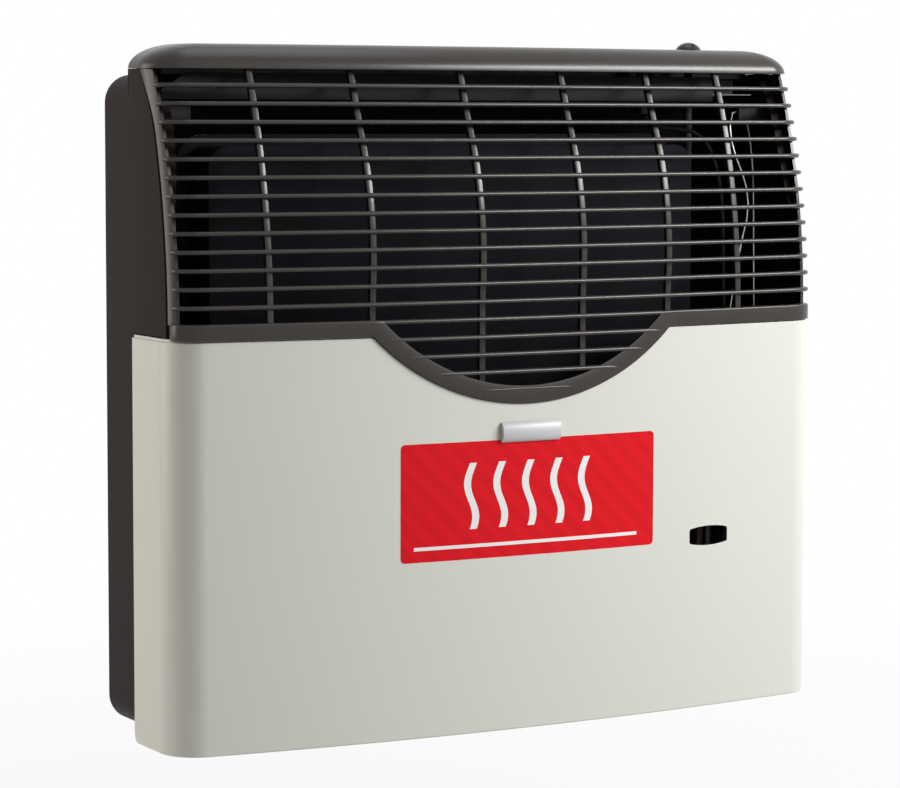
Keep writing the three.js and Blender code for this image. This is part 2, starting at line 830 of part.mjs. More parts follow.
function heatDeflector() {
  const [left, right] = [deflectorLeftMargin - halfWidth, halfWidth - deflectorRightMargin];
  const bottom = deflectorTop - deflectorHeight;
  const apron = polygon([
    [left, bottom],
    [right, bottom],
    [right, deflectorTop],
    [left + deflectorChamferWidth, deflectorTop],
    [left, deflectorTop - deflectorChamferHeight],
  ]);
  return join(
    frontal(apron, deflectorY, deflectorY + sheet),
    block(left + deflectorFlangeInset, halfWidth - deflectorFlangeRightMargin, deflectorY + sheet / 2,
      deflectorFlangeBack, casingCeiling - sheet, casingCeiling));
}

function grilleBracket(side) {
  const panelFace = halfWidth - panelInset - sheet - gap;
  const top = grilleBracketZ + grilleBracketHeight;
  const front = panelEdge(top) + finDepth / 2;
  const arm = front + grilleBracketFold;
  return join(
    block(side * (panelFace - sheet), side * panelFace, front, -casingDepth - clearance, grilleBracketZ, top),
    block(side * (panelFace - grilleBracketReach), side * panelFace, arm, arm + sheet, grilleBracketZ, top));
}

function coverBracket(side) {
  const [x, y] = screwPlace(side);
  const [left, right] = [x - coverBracketWidth / 2, x + coverBracketWidth / 2];
  const bend = y + 2 * screwHeadRadius;
  const foot = sheet + gap; // on top of the cover's bottom flange
  const bracket = join(
    block(left, right, bend, coverBracketBack, casingFloor, casingFloor + sheet),
    block(left, right, bend, bend + sheet, foot, casingFloor + sheet),
    block(left, right, y - screwHeadRadius / 2, bend + sheet, foot, foot + sheet));
  return cut(bracket, uprightRod(screwRadius + gap, x, y, foot - 1, foot + 2 * sheet, 16));
}

// A pan-head screw along Y or Z. The head's seat is at the given place and the shank follows the direction.
function screw(seat, direction) {
  const step = direction.clone().normalize();
  const headEnd = seat.clone().addScaledVector(step, -screwHeadHeight);
  const tip = seat.clone().addScaledVector(step, screwLength);
  return join(rod(screwHeadRadius, headEnd, seat, 16), rod(screwRadius, headEnd, tip, 12));
}

function coverScrew(side) {
  const [x, y] = screwPlace(side);
  return screw(at(x, y, -gap), at(0, 0, 1));
}

function capScrew(side) {
  return screw(at(side * (halfWidth - capBossInset), capBossY, panelTop - sheet - gap), at(0, 0, 1));
}

// ---------------------------------------------------------------- combustion chamber

const chamberFloor = chamberBottom + sheet + gap;

function chamberOutline(grow, corner = chamberCorner + grow) {
  return roundedRectangle(
    chamberLeft - grow, chamberRight + grow, chamberBottom - grow, chamberTop + grow, Math.max(corner, 1));
}

function flangeRing(y0, y1) {
  return cut(frontal(chamberOutline(chamberFlange), y0, y1), frontal(chamberOutline(-sheet), y0 - 1, y1 + 1));
}

const frontJoint = chamberJoint - gasketThickness / 2 - gap;
const rearJoint = chamberJoint + gasketThickness / 2 + gap;

function doorPlaces() {
  return [-1, 1].map((side) => at(doorCentreX + side * (doorWidth - doorRim) / 2, 0, doorCentreZ));
}

function doorScrewHoles(y0, y1) {
  return doorPlaces().map((p) => rodAlongY(screwRadius + gap, p.x, p.z, y0, y1, 12));
}

// The door's outline, drawn in by an amount at the ends and another above and below.
function doorRectangle(ends, edges) {
  const [halfWide, halfTall] = [doorWidth / 2 - ends, doorHeight / 2 - edges];
  return rectangle(
    doorCentreX - halfWide, doorCentreX + halfWide, doorCentreZ - halfTall, doorCentreZ + halfTall);
}

function sightRectangle(grow) {
  const [halfWide, halfTall] = [sightWidth / 2 + grow, sightHeight / 2 + grow];
  return rectangle(sightX - halfWide, sightX + halfWide, sightZ - halfTall, sightZ + halfTall);
}

function chamberFrontShell() {
  const pan = cut(
    frontal(chamberOutline(0), chamberFront, frontJoint),
    frontal(chamberOutline(-sheet), chamberFront + sheet, frontJoint + 1));
  const through = (shape) => frontal(shape, chamberFront - 1, chamberFront + 2 * sheet);
  const wall = [chamberRight - 2 * sheet, chamberRight + 1];
  return cut(
    join(pan, flangeRing(frontJoint - sheet, frontJoint)),
    through(sightRectangle(0)),
    through(doorRectangle(doorRim, doorEdge)),
    ...doorScrewHoles(chamberFront - 1, chamberFront + 2 * sheet),
    rodAlongX(holderRadius + gap, burnerY, burnerZ, ...wall, 20),
    rodAlongX(pilotPipeRadius + clearance, pilotY, pilotPipeExitZ, ...wall, 12),
    rodAlongX(leadRadius + clearance, pilotY, thermocoupleExitZ, ...wall, 12),
    rodAlongX(cableRadius + clearance, pilotY, cableExitZ, ...wall, 12));
}

function chamberRearShell() {
  const pan = cut(
    frontal(chamberOutline(0), rearJoint, chamberRear),
    frontal(chamberOutline(-sheet), rearJoint - 1, chamberRear - sheet));
  const inlet = rectangle(flueX - airInletHalfWidth, flueX + airInletHalfWidth,
    ductBottom + airInletRise, ductBottom + airInletRise + airInletHeight);
  return cut(
    join(pan, flangeRing(rearJoint, rearJoint + sheet)),
    rodAlongY(flueRadius + gap, flueX, flueZ, chamberRear - 2 * sheet, chamberRear + 1, 32),
    frontal(inlet, chamberRear - 2 * sheet, chamberRear + 1));
}

function chamberGasket() {
  return flangeRing(chamberJoint - gasketThickness / 2, chamberJoint + gasketThickness / 2);
}

function innerBaffle() {
  const [left, right] = [chamberLeft + baffleMargin, chamberRight - baffleMargin];
  const back = chamberRear - sheet - gap;
  const outline = polygon([
    [left, baffleY], [right, baffleY], [right, back - sheet], [right + baffleFoot, back - sheet],
    [right + baffleFoot, back], [right - sheet, back], [right - sheet, baffleY + sheet],
    [left + sheet, baffleY + sheet], [left + sheet, back], [left - baffleFoot, back],
    [left - baffleFoot, back - sheet], [left, back - sheet],
  ]);
  return upright(outline, baffleBottom, baffleTop);
}

function chamberBracket(side) {
  const edge = side > 0 ? chamberRight : -chamberLeft;
  const web = edge + chamberFlange / 2;
  const front = rearJoint + sheet + gap;
  const points = [
    [web, front], [web + sheet, front], [web + sheet, casingBackFace - sheet],
    [web + chamberBracketFoot, casingBackFace - sheet], [web + chamberBracketFoot, casingBackFace],
    [web, casingBackFace],
  ];
  return upright(polygon(points.map(([x, y]) => [side * x, y])), chamberBracketBottom, chamberBracketTop);
}

// ---------------------------------------------------------------- flue and air supply

function airDuct() {
  const [left, right] = [flueX - ductHalfWidth, flueX + ductHalfWidth];
  const top = flueZ + ductHalfWidth;
  const [front, back] = [chamberRear + gap, casingBackFace];
  return cut(
    block(left, right, front, back, ductBottom, top),
    block(left + sheet, right - sheet, front - 1, back - sheet, ductBottom + sheet, top - sheet),
    rodAlongY(airRadius - spigotWall, flueX, flueZ, back - 2 * sheet, back + 1, 40));
}

function airSpigot() {
  return cut(
    rodAlongY(airRadius, flueX, flueZ, casingBackFace + gap, airSpigotReach, 40),
    rodAlongY(airRadius - spigotWall, flueX, flueZ, -2 * sheet, airSpigotReach + 1, 40));
}

function fluePipe() {
  const seat = chamberRear - sheet - gap; // inside of the chamber's back wall
  return cut(
    join(
      rodAlongY(flueRadius, flueX, flueZ, seat - sheet, flueReach, 32),
      rodAlongY(flueRadius + flueCollar, flueX, flueZ, seat - sheet, seat, 32)),
    rodAlongY(flueRadius - spigotWall, flueX, flueZ, seat - 2 * sheet, flueReach + 1, 32));
}

// ---------------------------------------------------------------- burner

function burnerTube() {
  const slots = Array.from({ length: burnerSlots }, (_, i) => {
    const x = burnerSlotFirst + i * burnerSlotPitch;
    return block(x, x + burnerSlotWidth, burnerY - burnerSlotLength / 2, burnerY + burnerSlotLength / 2,
      burnerZ + burnerRadius / 2, burnerZ + burnerRadius + 1);
  });
  return cut(
    rodAlongX(burnerRadius, burnerY, burnerZ, burnerLeft, burnerRight, 24),
    rodAlongX(burnerRadius - burnerWall, burnerY, burnerZ, burnerLeft + burnerWall, burnerRight + 1, 24),
    ...slots);
}

function burnerBracket(x) {
  const [front, back] = [burnerY - burnerBracketHalf, burnerY + burnerBracketHalf];
  return cut(
    join(
      block(x, x + bracketSheet, front, back, chamberFloor, burnerZ - burnerRadius / 3),
      block(x, x + burnerBracketFoot, front, back, chamberFloor, chamberFloor + bracketSheet)),
    rodAlongX(burnerRadius + gap, burnerY, burnerZ, x - 1, x + bracketSheet + 1, 24));
}

const holderLeft = chamberRight - holderInside;
const holderRight = chamberRight + holderOutside;

function injectorHolder() {
  return join(
    rodAlongX(holderRadius, burnerY, burnerZ, holderLeft, holderRight, 20),
    rodAlongX(holderNutRadius, burnerY, burnerZ, chamberRight + gap, chamberRight + gap + holderNutWidth, 6));
}

function injector() {
  const right = holderLeft - gap;
  const left = Math.max(burnerRight + injectorGap, right - injectorLength);
  return cut(
    rodAlongX(injectorRadius, burnerY, burnerZ, left, right, 6),
    rodAlongX(injectorBore, burnerY, burnerZ, left - 1, right + 1, 8));
}

const pilotRods = [
  [pilotX, pilotRadius], [thermocoupleX, thermocoupleRadius], [electrodeX, electrodeRadius],
];

function pilotBracket() {
  const back = burnerY - burnerRadius - gap;
  const front = pilotY - 5;
  const plate = block(pilotShelfLeft, pilotShelfRight, front, back, pilotShelfZ, pilotShelfZ + bracketSheet);
  return cut(plate, ...pilotRods.map(([x, radius]) => uprightRod(
    radius + gap, x, pilotY, pilotShelfZ - 1, pilotShelfZ + 2 * bracketSheet, 12)));
}

// Pilot rods stand in the shelf on a small shoulder below it.
function pilotRod([x, radius], top) {
  return join(
    uprightRod(radius, x, pilotY, pilotFoot, top, 12),
    uprightRod(radius + 1, x, pilotY, pilotShelfZ - gap - 4, pilotShelfZ - gap, 12));
}

// ---------------------------------------------------------------- burner door and sight glass

function doorSeal() {
  const front = chamberFront - gap - doorGasket;
  const hole = doorRectangle(doorRim - doorSealOverlap, doorEdge - doorSealOverlap);
  return cut(
    frontal(doorRectangle(0, 0), front, chamberFront - gap),
    frontal(hole, front - 1, chamberFront),
    ...doorScrewHoles(front - 1, chamberFront));
}

const doorFront = chamberFront - doorGasket - 2 * gap - sheet;

function burnerDoor() {
  return cut(
    frontal(doorRectangle(0, 0), doorFront, doorFront + sheet),
    ...doorScrewHoles(doorFront - 1, doorFront + 2 * sheet));
}

function doorScrew(index) {
  const place = doorPlaces()[index];
  return screw(at(place.x, doorFront - gap, place.z), at(0, 1, 0));
}

function sightGlass() {
  return frontal(sightRectangle(glassRim), chamberFront - gap - glassThickness, chamberFront - gap);
}

// The frame is a dished plate: its rim lies on the chamber and its middle holds the glass down.
function sightFrame() {
  const back = chamberFront - gap;
  const pocket = back - glassThickness - gap;
  return cut(
    frontal(sightRectangle(sightFrameRim), pocket - sightFrameStep, back),
    frontal(sightRectangle(glassRim + gap), pocket, back + 1),
    frontal(sightRectangle(0), pocket - 2 * sightFrameStep, back + 1));
}

// ---------------------------------------------------------------- valve and control

const knobTop = capTop + knobTopAboveCap;
const knobBottom = knobTop - knobHeight;
const wellFloorTop = knobBottom - knobTravel - wellFloorGap;
const spindleTop = knobBottom + knobSocketDepth - gap;
const valveTop = valveBottom + valveHeight;
const valveRight = valveLeft + valveWidth;
const collarBottom = valveTop + valveNeckHeight - collarHeight - knobTravel / 2;
const spindleBottom = valveTop - spindleSunk;

// A round with one flat side, as on a control spindle.
function flatted(radius, flat, x, y) {
  const half = Math.acos(flat / radius);
  const shape = new THREE.Shape();
  shape.absarc(x, y, radius, half, 2 * Math.PI - half, false);
  return shape;
}

function gasValveBody() {
  const neckTop = valveTop + valveNeckHeight;
  const body = join(
    block(valveLeft, valveRight, valveFront, valveBack, valveBottom, valveTop),
    uprightRod(valveNeckRadius, knobX, knobY, valveTop - 1, neckTop, 24));
  return cut(body,
    uprightRod(collarRadius + gap, knobX, knobY, collarBottom - knobTravel - 2 * gap, neckTop + 1, 24),
    uprightRod(spindleRadius + clearance, knobX, knobY, spindleBottom - knobTravel - 1, neckTop, 20));
}

function pushCollar() {
  return cut(
    uprightRod(collarRadius, knobX, knobY, collarBottom, collarBottom + collarHeight, 24),
    uprightRod(spindleRadius + gap, knobX, knobY, collarBottom - 1, collarBottom + collarHeight + 1, 20));
}

// The spindle's upper end carries the flat that turns with the knob.
function controlSpindle() {
  return join(
    uprightRod(spindleRadius, knobX, knobY, spindleBottom, knobBottom - gap, 20),
    upright(flatted(spindleRadius, spindleFlat, knobX, knobY), knobBottom - 1, spindleTop));
}

function controlKnob() {
  const domeStart = knobTop - knobDomeRise;
  const dome = Array.from({ length: 8 }, (_, i) => {
    const angle = 90 * i / 7 * degree;
    return [knobRadius * Math.cos(angle), domeStart + knobDomeRise * Math.sin(angle)];
  });
  dome[dome.length - 1][0] = 0;
  const body = turned([[0, knobBottom], [knobRadius - 1, knobBottom], [knobRadius, knobBottom + 1], ...dome],
    knobX, knobY, 28);
  const socket = flatted(spindleRadius + gap, spindleFlat + gap, knobX, knobY);
  return cut(body, upright(socket, knobBottom - 1, knobBottom + knobSocketDepth));
}

function controlBezel() {
  const inner = knobRadius + wellGap;
  const outer = inner + wellWall;
  const flangeTop = capTop - capWall - 3 * gap;
  const bore = spindleRadius + 2;
  return turned([
    [bore, wellFloorTop - wellWall], [outer, wellFloorTop - wellWall], [outer, flangeTop - wellWall],
    [outer + wellFlange, flangeTop - wellWall], [outer + wellFlange, flangeTop], [inner, flangeTop],
    [inner, wellFloorTop], [bore, wellFloorTop],
  ], knobX, knobY);
}

function controlBracket() {
  const step = [controlBracketStep, controlBracketStep + sheet];
  const right = controlBracketLeft + controlBracketWidth;
  const plate = (y0, y1, z0, z1) => block(controlBracketLeft, right, y0, y1, z0, z1);
  return cut(
    join(
      plate(controlBracketFront, step[1], controlBracketZ, controlBracketZ + sheet),
      plate(...step, controlBracketZ, casingCeiling),
      plate(step[0], controlBracketBack, casingCeiling - sheet, casingCeiling)),
    uprightRod(spindleRadius + clearance, knobX, knobY, controlBracketZ - 1, controlBracketZ + 2 * sheet),
    uprightRod(igniterRadius + gap, igniterX, igniterY, controlBracketZ - 1, controlBracketZ + 2 * sheet));
}

function valveBracket() {
  const top = valveBottom - gap;
  const right = valveShelfLeft + valveShelfWidth;
  const shelf = (y0, z0) => block(valveShelfLeft, right, y0, casingBackFace, z0, top);
  return cut(
    join(shelf(valveFront, top - sheet), shelf(casingBackFace - sheet, top - valveShelfDrop)),
    uprightRod(inletRadius + clearance, inletX, inletY, top - 2 * sheet, top + 1));
}

// ---------------------------------------------------------------- piezo igniter

const buttonTop = capTop - gap;
const buttonHeadBottom = buttonTop - buttonHeadHeight;

function piezoBody() {
  const collarTop = controlBracketZ - gap;
  return cut(
    join(
      uprightRod(igniterRadius, igniterX, igniterY, igniterBottom, igniterTop, 24),
      uprightRod(igniterCollarRadius, igniterX, igniterY, collarTop - igniterCollarHeight, collarTop, 24)),
    uprightRod(buttonStemRadius + gap, igniterX, igniterY,
      buttonHeadBottom - buttonStemLength - buttonTravel - 1, igniterTop + 1, 20));
}

function piezoNut() {
  const seat = controlBracketZ + sheet + gap;
  return cut(
    uprightRod(igniterNutRadius, igniterX, igniterY, seat, seat + igniterNutHeight, 6),
    uprightRod(igniterRadius + gap, igniterX, igniterY, seat - 1, seat + igniterNutHeight + 1, 24));
}

function igniterButton() {
  return join(
    uprightRod(buttonHeadRadius, igniterX, igniterY, buttonHeadBottom, buttonTop, 24),
    uprightRod(buttonStemRadius, igniterX, igniterY, buttonHeadBottom - buttonStemLength, buttonTop - 1, 20));
}

// ---------------------------------------------------------------- pipes and leads

const valveUnderside = valveBottom - gap;

function gasInletPipe() {
  return cut(
    uprightRod(inletRadius, inletX, inletY, inletBottom, valveUnderside, 20),
    uprightRod(inletBore, inletX, inletY, inletBottom - 1, valveUnderside - 2, 20));
}

function unionNut() {
  const top = inletBottom - gap;
  return cut(
    uprightRod(unionRadius, inletX, inletY, top - unionHeight, top, 6),
    uprightRod(inletBore, inletX, inletY, top - unionHeight - 1, top + 1, 20));
}

function manifoldPipe() {
  const { x, y } = manifoldTop;
  return wire(manifoldRadius, [
    at(x, y, valveUnderside), at(x, y, 160), at(x + 1, y + 5, 130), at(x - 2, burnerY - 1, burnerZ + 3),
    at(x - 8, burnerY, burnerZ), at(holderRight + gap, burnerY, burnerZ),
  ], 20);
}

function pilotPipe() {
  const { x, y } = pilotPipeTop;
  return wire(pilotPipeRadius, [
    at(pilotX, pilotY, pilotFoot - gap), at(pilotX, pilotY, 86), at(pilotX + 5, pilotY, pilotPipeExitZ + 2),
    at(pilotX + 16, pilotY, pilotPipeExitZ), at(chamberRight - 8, pilotY, pilotPipeExitZ),
    at(chamberRight + 8, pilotY, pilotPipeExitZ), at(x - 2, y, pilotPipeExitZ + 8), at(x, y, 110),
    at(x, y, valveUnderside),
  ], 32, 6);
}

function thermocoupleLead() {
  const { x, y } = leadTop;
  return wire(leadRadius, [
    at(thermocoupleX, pilotY, pilotFoot - gap), at(thermocoupleX, pilotY, 91),
    at(thermocoupleX + 4, pilotY, thermocoupleExitZ + 1.5), at(thermocoupleX + 14, pilotY, thermocoupleExitZ),
    at(chamberRight - 8, pilotY, thermocoupleExitZ), at(chamberRight + 4, pilotY, thermocoupleExitZ),
    at(chamberRight + 9, pilotY, thermocoupleExitZ + 2), at(x, y + 9, 98), at(x, y + 4, 115),
    at(x, y, 140), at(x, y, valveUnderside),
  ], 34, 6);
}

function ignitionCable() {
  return wire(cableRadius, [
    at(electrodeX, pilotY, pilotFoot - gap), at(electrodeX, pilotY, 96),
    at(electrodeX + 3.5, pilotY, cableExitZ + 0.6), at(electrodeX + 14, pilotY, cableExitZ),
    at(chamberRight - 8, pilotY, cableExitZ), at(chamberRight + 4, pilotY, cableExitZ),
    at(chamberRight + 9, pilotY - 3, cableExitZ + 1), at(knobX + 3, -118, 104),
    at(knobX + 12, -130, 150), at(knobX + 14, -132, 240), at(knobX + 14, -128, controlBracketZ - 178),
    at(knobX + 14, -118, controlBracketZ - 78), at(knobX + 4, -101, controlBracketZ - 38),
    at(igniterX + 24, -92, controlBracketZ - 32), at(igniterX + 6, igniterY - 1, igniterBottom - 11),
    at(igniterX, igniterY, igniterBottom - 6), at(igniterX, igniterY, igniterBottom - gap),
  ], 44, 6);
}

function capillaryTube() {
  const top = controlBracketZ;
  return wire(capillaryRadius, [
    at(capillaryStart.x, capillaryStart.y, valveTop + gap), at(inletX - 3, -98, valveTop + 55),
    at(inletX + 9, -96, top - 178), at(inletX + 17, -96, top - 140), at(inletX + 23, -96, top - 118),
    at(inletX + 24, -96, top - 104), at(inletX + 22, -96, top - 90), at(inletX + 17, -96, top - 76),
    at(inletX + 8, -96, top - 57), at(inletX + 3, -94, top - 33), at(inletX + 11, -88, top - 15),
    at(inletX + 29, -80, top - 18), at(inletX + 43, -74, top - 58), at(inletX + 47, -74, top - 178),
    at(inletX + 47, -80, valveTop - 35), at(inletX + 41, -100, 100), at(inletX + 15, -118, 44),
    at(inletX - 45, bulbY, bulbZ), at(bulbRight + 20, bulbY, bulbZ), at(bulbRight + gap, bulbY, bulbZ),
  ], 64, 5);
}

function thermostatBulb() {
  return rodAlongX(bulbRadius, bulbY, bulbZ, bulbRight - bulbLength, bulbRight, 16);
}

function bulbClip() {
  const [left, right] = [clipX - clipWidth / 2, clipX + clipWidth / 2];
  const ring = bulbRadius + gap + sheet;
  return cut(
    join(
      rodAlongX(ring, bulbY, bulbZ, left, right, 20),
      block(left, right, bulbY - sheet / 2, bulbY + sheet / 2, casingFloor, bulbZ),
      block(left, right, bulbY - sheet / 2, clipBack, casingFloor, casingFloor + sheet)),
    rodAlongX(bulbRadius + gap, bulbY, bulbZ, left - 1, right + 1, 16));
}

// ---------------------------------------------------------------- assembly

const heater = new THREE.Group();

function place(name, body, material, parent = heater) {
  const mesh = body.getMesh();
  const geometry = new THREE.BufferGeometry();
  geometry.setAttribute('position', new THREE.BufferAttribute(new Float32Array(mesh.vertProperties), 3));
  geometry.setIndex(new THREE.BufferAttribute(new Uint32Array(mesh.triVerts), 1));
  geometry.computeVertexNormals();
  const piece = new THREE.Mesh(geometry, material);
  piece.name = name;
  parent.add(piece);
}

const cabinet = new THREE.Group();
place('rear_casing', rearCasing(), brownPaint, cabinet);
place('front_cover', frontCover(), creamPaint, cabinet);
place('grille', grille(), bronzeMoulding, cabinet);
place('top_cap', topCap(), bronzeMoulding, cabinet);
place('badge_plate', badgePlate(), silverPlastic, cabinet);
place('heat_deflector', heatDeflector(), darkSteel, cabinet);
for (const [word, side] of [['left', -1], ['right', 1]]) {
  place(`side_panel_${word}`, sidePanel(side), brownPaint, cabinet);
  place(`grille_bracket_${word}`, grilleBracket(side), darkSteel, cabinet);
  place(`cover_bracket_${word}`, coverBracket(side), zincSteel, cabinet);
  place(`cover_screw_${word}`, coverScrew(side), zincSteel, cabinet);
  place(`cap_screw_${word}`, capScrew(side), zincSteel, cabinet);
}

const chamber = new THREE.Group();
place('chamber_front_shell', chamberFrontShell(), blackEnamel, chamber);
place('chamber_rear_shell', chamberRearShell(), blackEnamel, chamber);
place('chamber_gasket', chamberGasket(), fibre, chamber);
place('inner_baffle', innerBaffle(), darkSteel, chamber);
place('chamber_bracket_left', chamberBracket(-1), zincSteel, chamber);
place('chamber_bracket_right', chamberBracket(1), zincSteel, chamber);
place('air_duct', airDuct(), zincSteel, chamber);
place('air_spigot', airSpigot(), aluminium, chamber);
place('flue_pipe', fluePipe(), aluminium, chamber);
place('burner_door', burnerDoor(), darkSteel, chamber);
place('burner_door_gasket', doorSeal(), fibre, chamber);
place('burner_door_screw_1', doorScrew(0), zincSteel, chamber);
place('burner_door_screw_2', doorScrew(1), zincSteel, chamber);
place('sight_glass', sightGlass(), glass, chamber);
place('sight_glass_frame', sightFrame(), zincSteel, chamber);

const burner = new THREE.Group();
place('burner_tube', burnerTube(), zincSteel, burner);
place('burner_bracket_left', burnerBracket(burnerBracketPlaces[0]), zincSteel, burner);
place('burner_bracket_right', burnerBracket(burnerBracketPlaces[1]), zincSteel, burner);
place('injector_holder', injectorHolder(), brass, burner);
place('injector', injector(), brass, burner);
place('pilot_bracket', pilotBracket(), zincSteel, burner);
place('pilot_burner', pilotRod(pilotRods[0], pilotTop - 6), brass, burner);
place('thermocouple', pilotRod(pilotRods[1], pilotTop), copper, burner);
place('spark_electrode', pilotRod(pilotRods[2], pilotTop - 2), ceramic, burner);

const control = new THREE.Group();
place('gas_valve_body', gasValveBody(), aluminium, control);
place('valve_bracket', valveBracket(), zincSteel, control);
place('valve_push_collar', pushCollar(), brass, control);
place('control_spindle', controlSpindle(), darkSteel, control);
place('control_knob', controlKnob(), blackPlastic, control);
place('control_bezel', controlBezel(), blackPlastic, control);
place('control_bracket', controlBracket(), zincSteel, control);
place('piezo_igniter_body', piezoBody(), blackPlastic, control);
place('piezo_nut', piezoNut(), blackPlastic, control);
place('igniter_button', igniterButton(), blackPlastic, control);
place('gas_inlet_pipe', gasInletPipe(), zincSteel, control);
place('inlet_union_nut', unionNut(), brass, control);
place('manifold_pipe', manifoldPipe(), aluminium, control);
place('pilot_pipe', pilotPipe(), aluminium, control);
place('thermocouple_lead', thermocoupleLead(), copper, control);
place('ignition_cable', ignitionCable(), blackRubber, control);
place('capillary_tube', capillaryTube(), zincSteel, control);
place('thermostat_bulb', thermostatBulb(), copper, control);
place('bulb_clip', bulbClip(), zincSteel, control);

heater.add(cabinet, chamber, burner, control);
heater.position.z = -casingMiddle;

export default heater;
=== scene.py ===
import json
import math
import bmesh
import bpy
from mathutils import Matrix, Vector

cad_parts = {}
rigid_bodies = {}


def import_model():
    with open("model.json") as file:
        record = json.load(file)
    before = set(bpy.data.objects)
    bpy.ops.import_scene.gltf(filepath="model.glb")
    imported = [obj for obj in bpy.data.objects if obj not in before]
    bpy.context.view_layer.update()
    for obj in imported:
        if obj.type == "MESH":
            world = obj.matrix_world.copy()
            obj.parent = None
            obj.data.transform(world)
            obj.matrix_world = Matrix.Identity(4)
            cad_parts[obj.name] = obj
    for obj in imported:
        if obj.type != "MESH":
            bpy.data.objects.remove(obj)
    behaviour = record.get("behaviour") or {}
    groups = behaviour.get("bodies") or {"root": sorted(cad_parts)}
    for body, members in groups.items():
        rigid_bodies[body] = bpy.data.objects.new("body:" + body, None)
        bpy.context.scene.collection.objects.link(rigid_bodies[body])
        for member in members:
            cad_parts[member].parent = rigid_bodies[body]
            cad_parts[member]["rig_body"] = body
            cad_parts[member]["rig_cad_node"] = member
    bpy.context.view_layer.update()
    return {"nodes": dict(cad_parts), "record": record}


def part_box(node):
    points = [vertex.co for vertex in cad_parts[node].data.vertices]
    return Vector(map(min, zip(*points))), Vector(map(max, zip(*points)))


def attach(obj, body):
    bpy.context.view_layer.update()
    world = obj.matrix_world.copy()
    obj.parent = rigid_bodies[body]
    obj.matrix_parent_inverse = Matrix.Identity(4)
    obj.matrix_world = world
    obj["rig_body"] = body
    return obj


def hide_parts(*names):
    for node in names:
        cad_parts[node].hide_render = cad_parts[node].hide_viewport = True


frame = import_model()

# Metres. Heights in the dictionaries are counted from the front cover's lower edge.
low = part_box("front_cover")[0].z
cabinet = {
    "halfWidth": 0.3405,
    "height": 0.599,  # up to the cap's rim
    "cornerLine": 0.156,  # wall to the line through the two front corners
    "bow": 0.025,
    "corner": 0.035,
    "sheet": 0.0012,
}
halfWidth = cabinet["halfWidth"]
bowRadius = (halfWidth ** 2 + cabinet["bow"] ** 2) / (2 * cabinet["bow"])
bowCentre = Vector((0, bowRadius - cabinet["cornerLine"] - cabinet["bow"], 0))
cornerX = halfWidth - cabinet["corner"]
bowAngle = math.asin(cornerX / (bowRadius - cabinet["corner"]))
cornerCentre = Vector((cornerX, bowCentre.y - (bowRadius - cabinet["corner"]) * math.cos(bowAngle), 0))
front = -cabinet["cornerLine"] - cabinet["bow"]  # the bow's foremost line


# ---- modelling helpers

def clear():
    if bpy.context.object and bpy.context.object.mode != "OBJECT":
        bpy.ops.object.mode_set(mode="OBJECT")
    bpy.ops.object.select_all(action="DESELECT")


def activate(obj):
    clear()
    obj.select_set(True)
    bpy.context.view_layer.objects.active = obj
    return obj


def editing(obj, kind="VERT"):
    activate(obj)
    bpy.ops.object.mode_set(mode="EDIT")
    bpy.ops.mesh.select_mode(type=kind)


def settle(obj):
    activate(obj)
    bpy.ops.object.transform_apply(location=True, rotation=True, scale=True)
    return obj


def pick(obj, kind, test):
    # in edit mode: selects the vertices, edges or faces whose middle passes the test
    bpy.ops.mesh.select_mode(type=kind)
    bpy.ops.mesh.select_all(action="DESELECT")
    shape = bmesh.from_edit_mesh(obj.data)
    if kind == "VERT":
        for v in shape.verts:
            v.select = test(v.co)
    elif kind == "EDGE":
        for e in shape.edges:
            a, b = e.verts[0].co, e.verts[1].co
            e.select = test((a + b) / 2, (b - a).normalized())
    else:
        for f in shape.faces:
            f.select = test(f.calc_center_median(), f.normal)
    shape.select_flush_mode()
    bmesh.update_edit_mesh(obj.data)


def startLine(name, points, closed=False, filled=False):
    # a line of vertices, extruded one after the other
    clear()
    bpy.ops.mesh.primitive_plane_add(size=0.001, location=points[0])
    obj = settle(bpy.context.object)
    obj.name = obj.data.name = name
    editing(obj)
    bpy.ops.mesh.select_all(action="SELECT")
    bpy.ops.mesh.merge(type="CENTER")
    for a, b in zip(points, points[1:]):
        pull(Vector(b) - Vector(a))
    if closed:
        ends = [Vector(points[0]), Vector(points[-1])]
        pick(obj, "VERT", lambda co: min((co - e).length for e in ends) < 1e-6)
        bpy.ops.mesh.edge_face_add()
    bpy.ops.mesh.select_all(action="SELECT")
    if filled:
        bpy.ops.mesh.edge_face_add()
    return obj


def pull(step):
    bpy.ops.mesh.extrude_region_move(TRANSFORM_OT_translate={"value": tuple(step)})


def turn(angle, centre, steps, axis=(0, 0, 1)):
    # anticlockwise seen against the axis
    bpy.ops.mesh.spin(steps=steps, angle=-angle, center=tuple(centre), axis=axis)


def growTo(obj, old, new):
    # extrudes the selected ring and lays each of its points on its new place
    pull((0, 0, 0.0005))
    shape = bmesh.from_edit_mesh(obj.data)
    chosen = [v for v in shape.verts if v.select]
    places = [(v, min(range(len(old)), key=lambda i: (v.co - old[i] - Vector((0, 0, 0.0005))).length))
              for v in chosen]
    for v, i in places:
        v.co = new[i]
    bmesh.update_edit_mesh(obj.data)


def outwards(obj, merge=1e-6):
    editing(obj)
    bpy.ops.mesh.select_all(action="SELECT")
    bpy.ops.mesh.remove_doubles(threshold=merge)
    bpy.ops.mesh.normals_make_consistent(inside=False)
    clear()


def modify(obj, kind, **values):
    activate(obj)
    modifier = obj.modifiers.new(kind.lower(), kind)
    for key, value in values.items():
        setattr(modifier, key, value)
    bpy.ops.object.modifier_apply(modifier=modifier.name)
    return obj


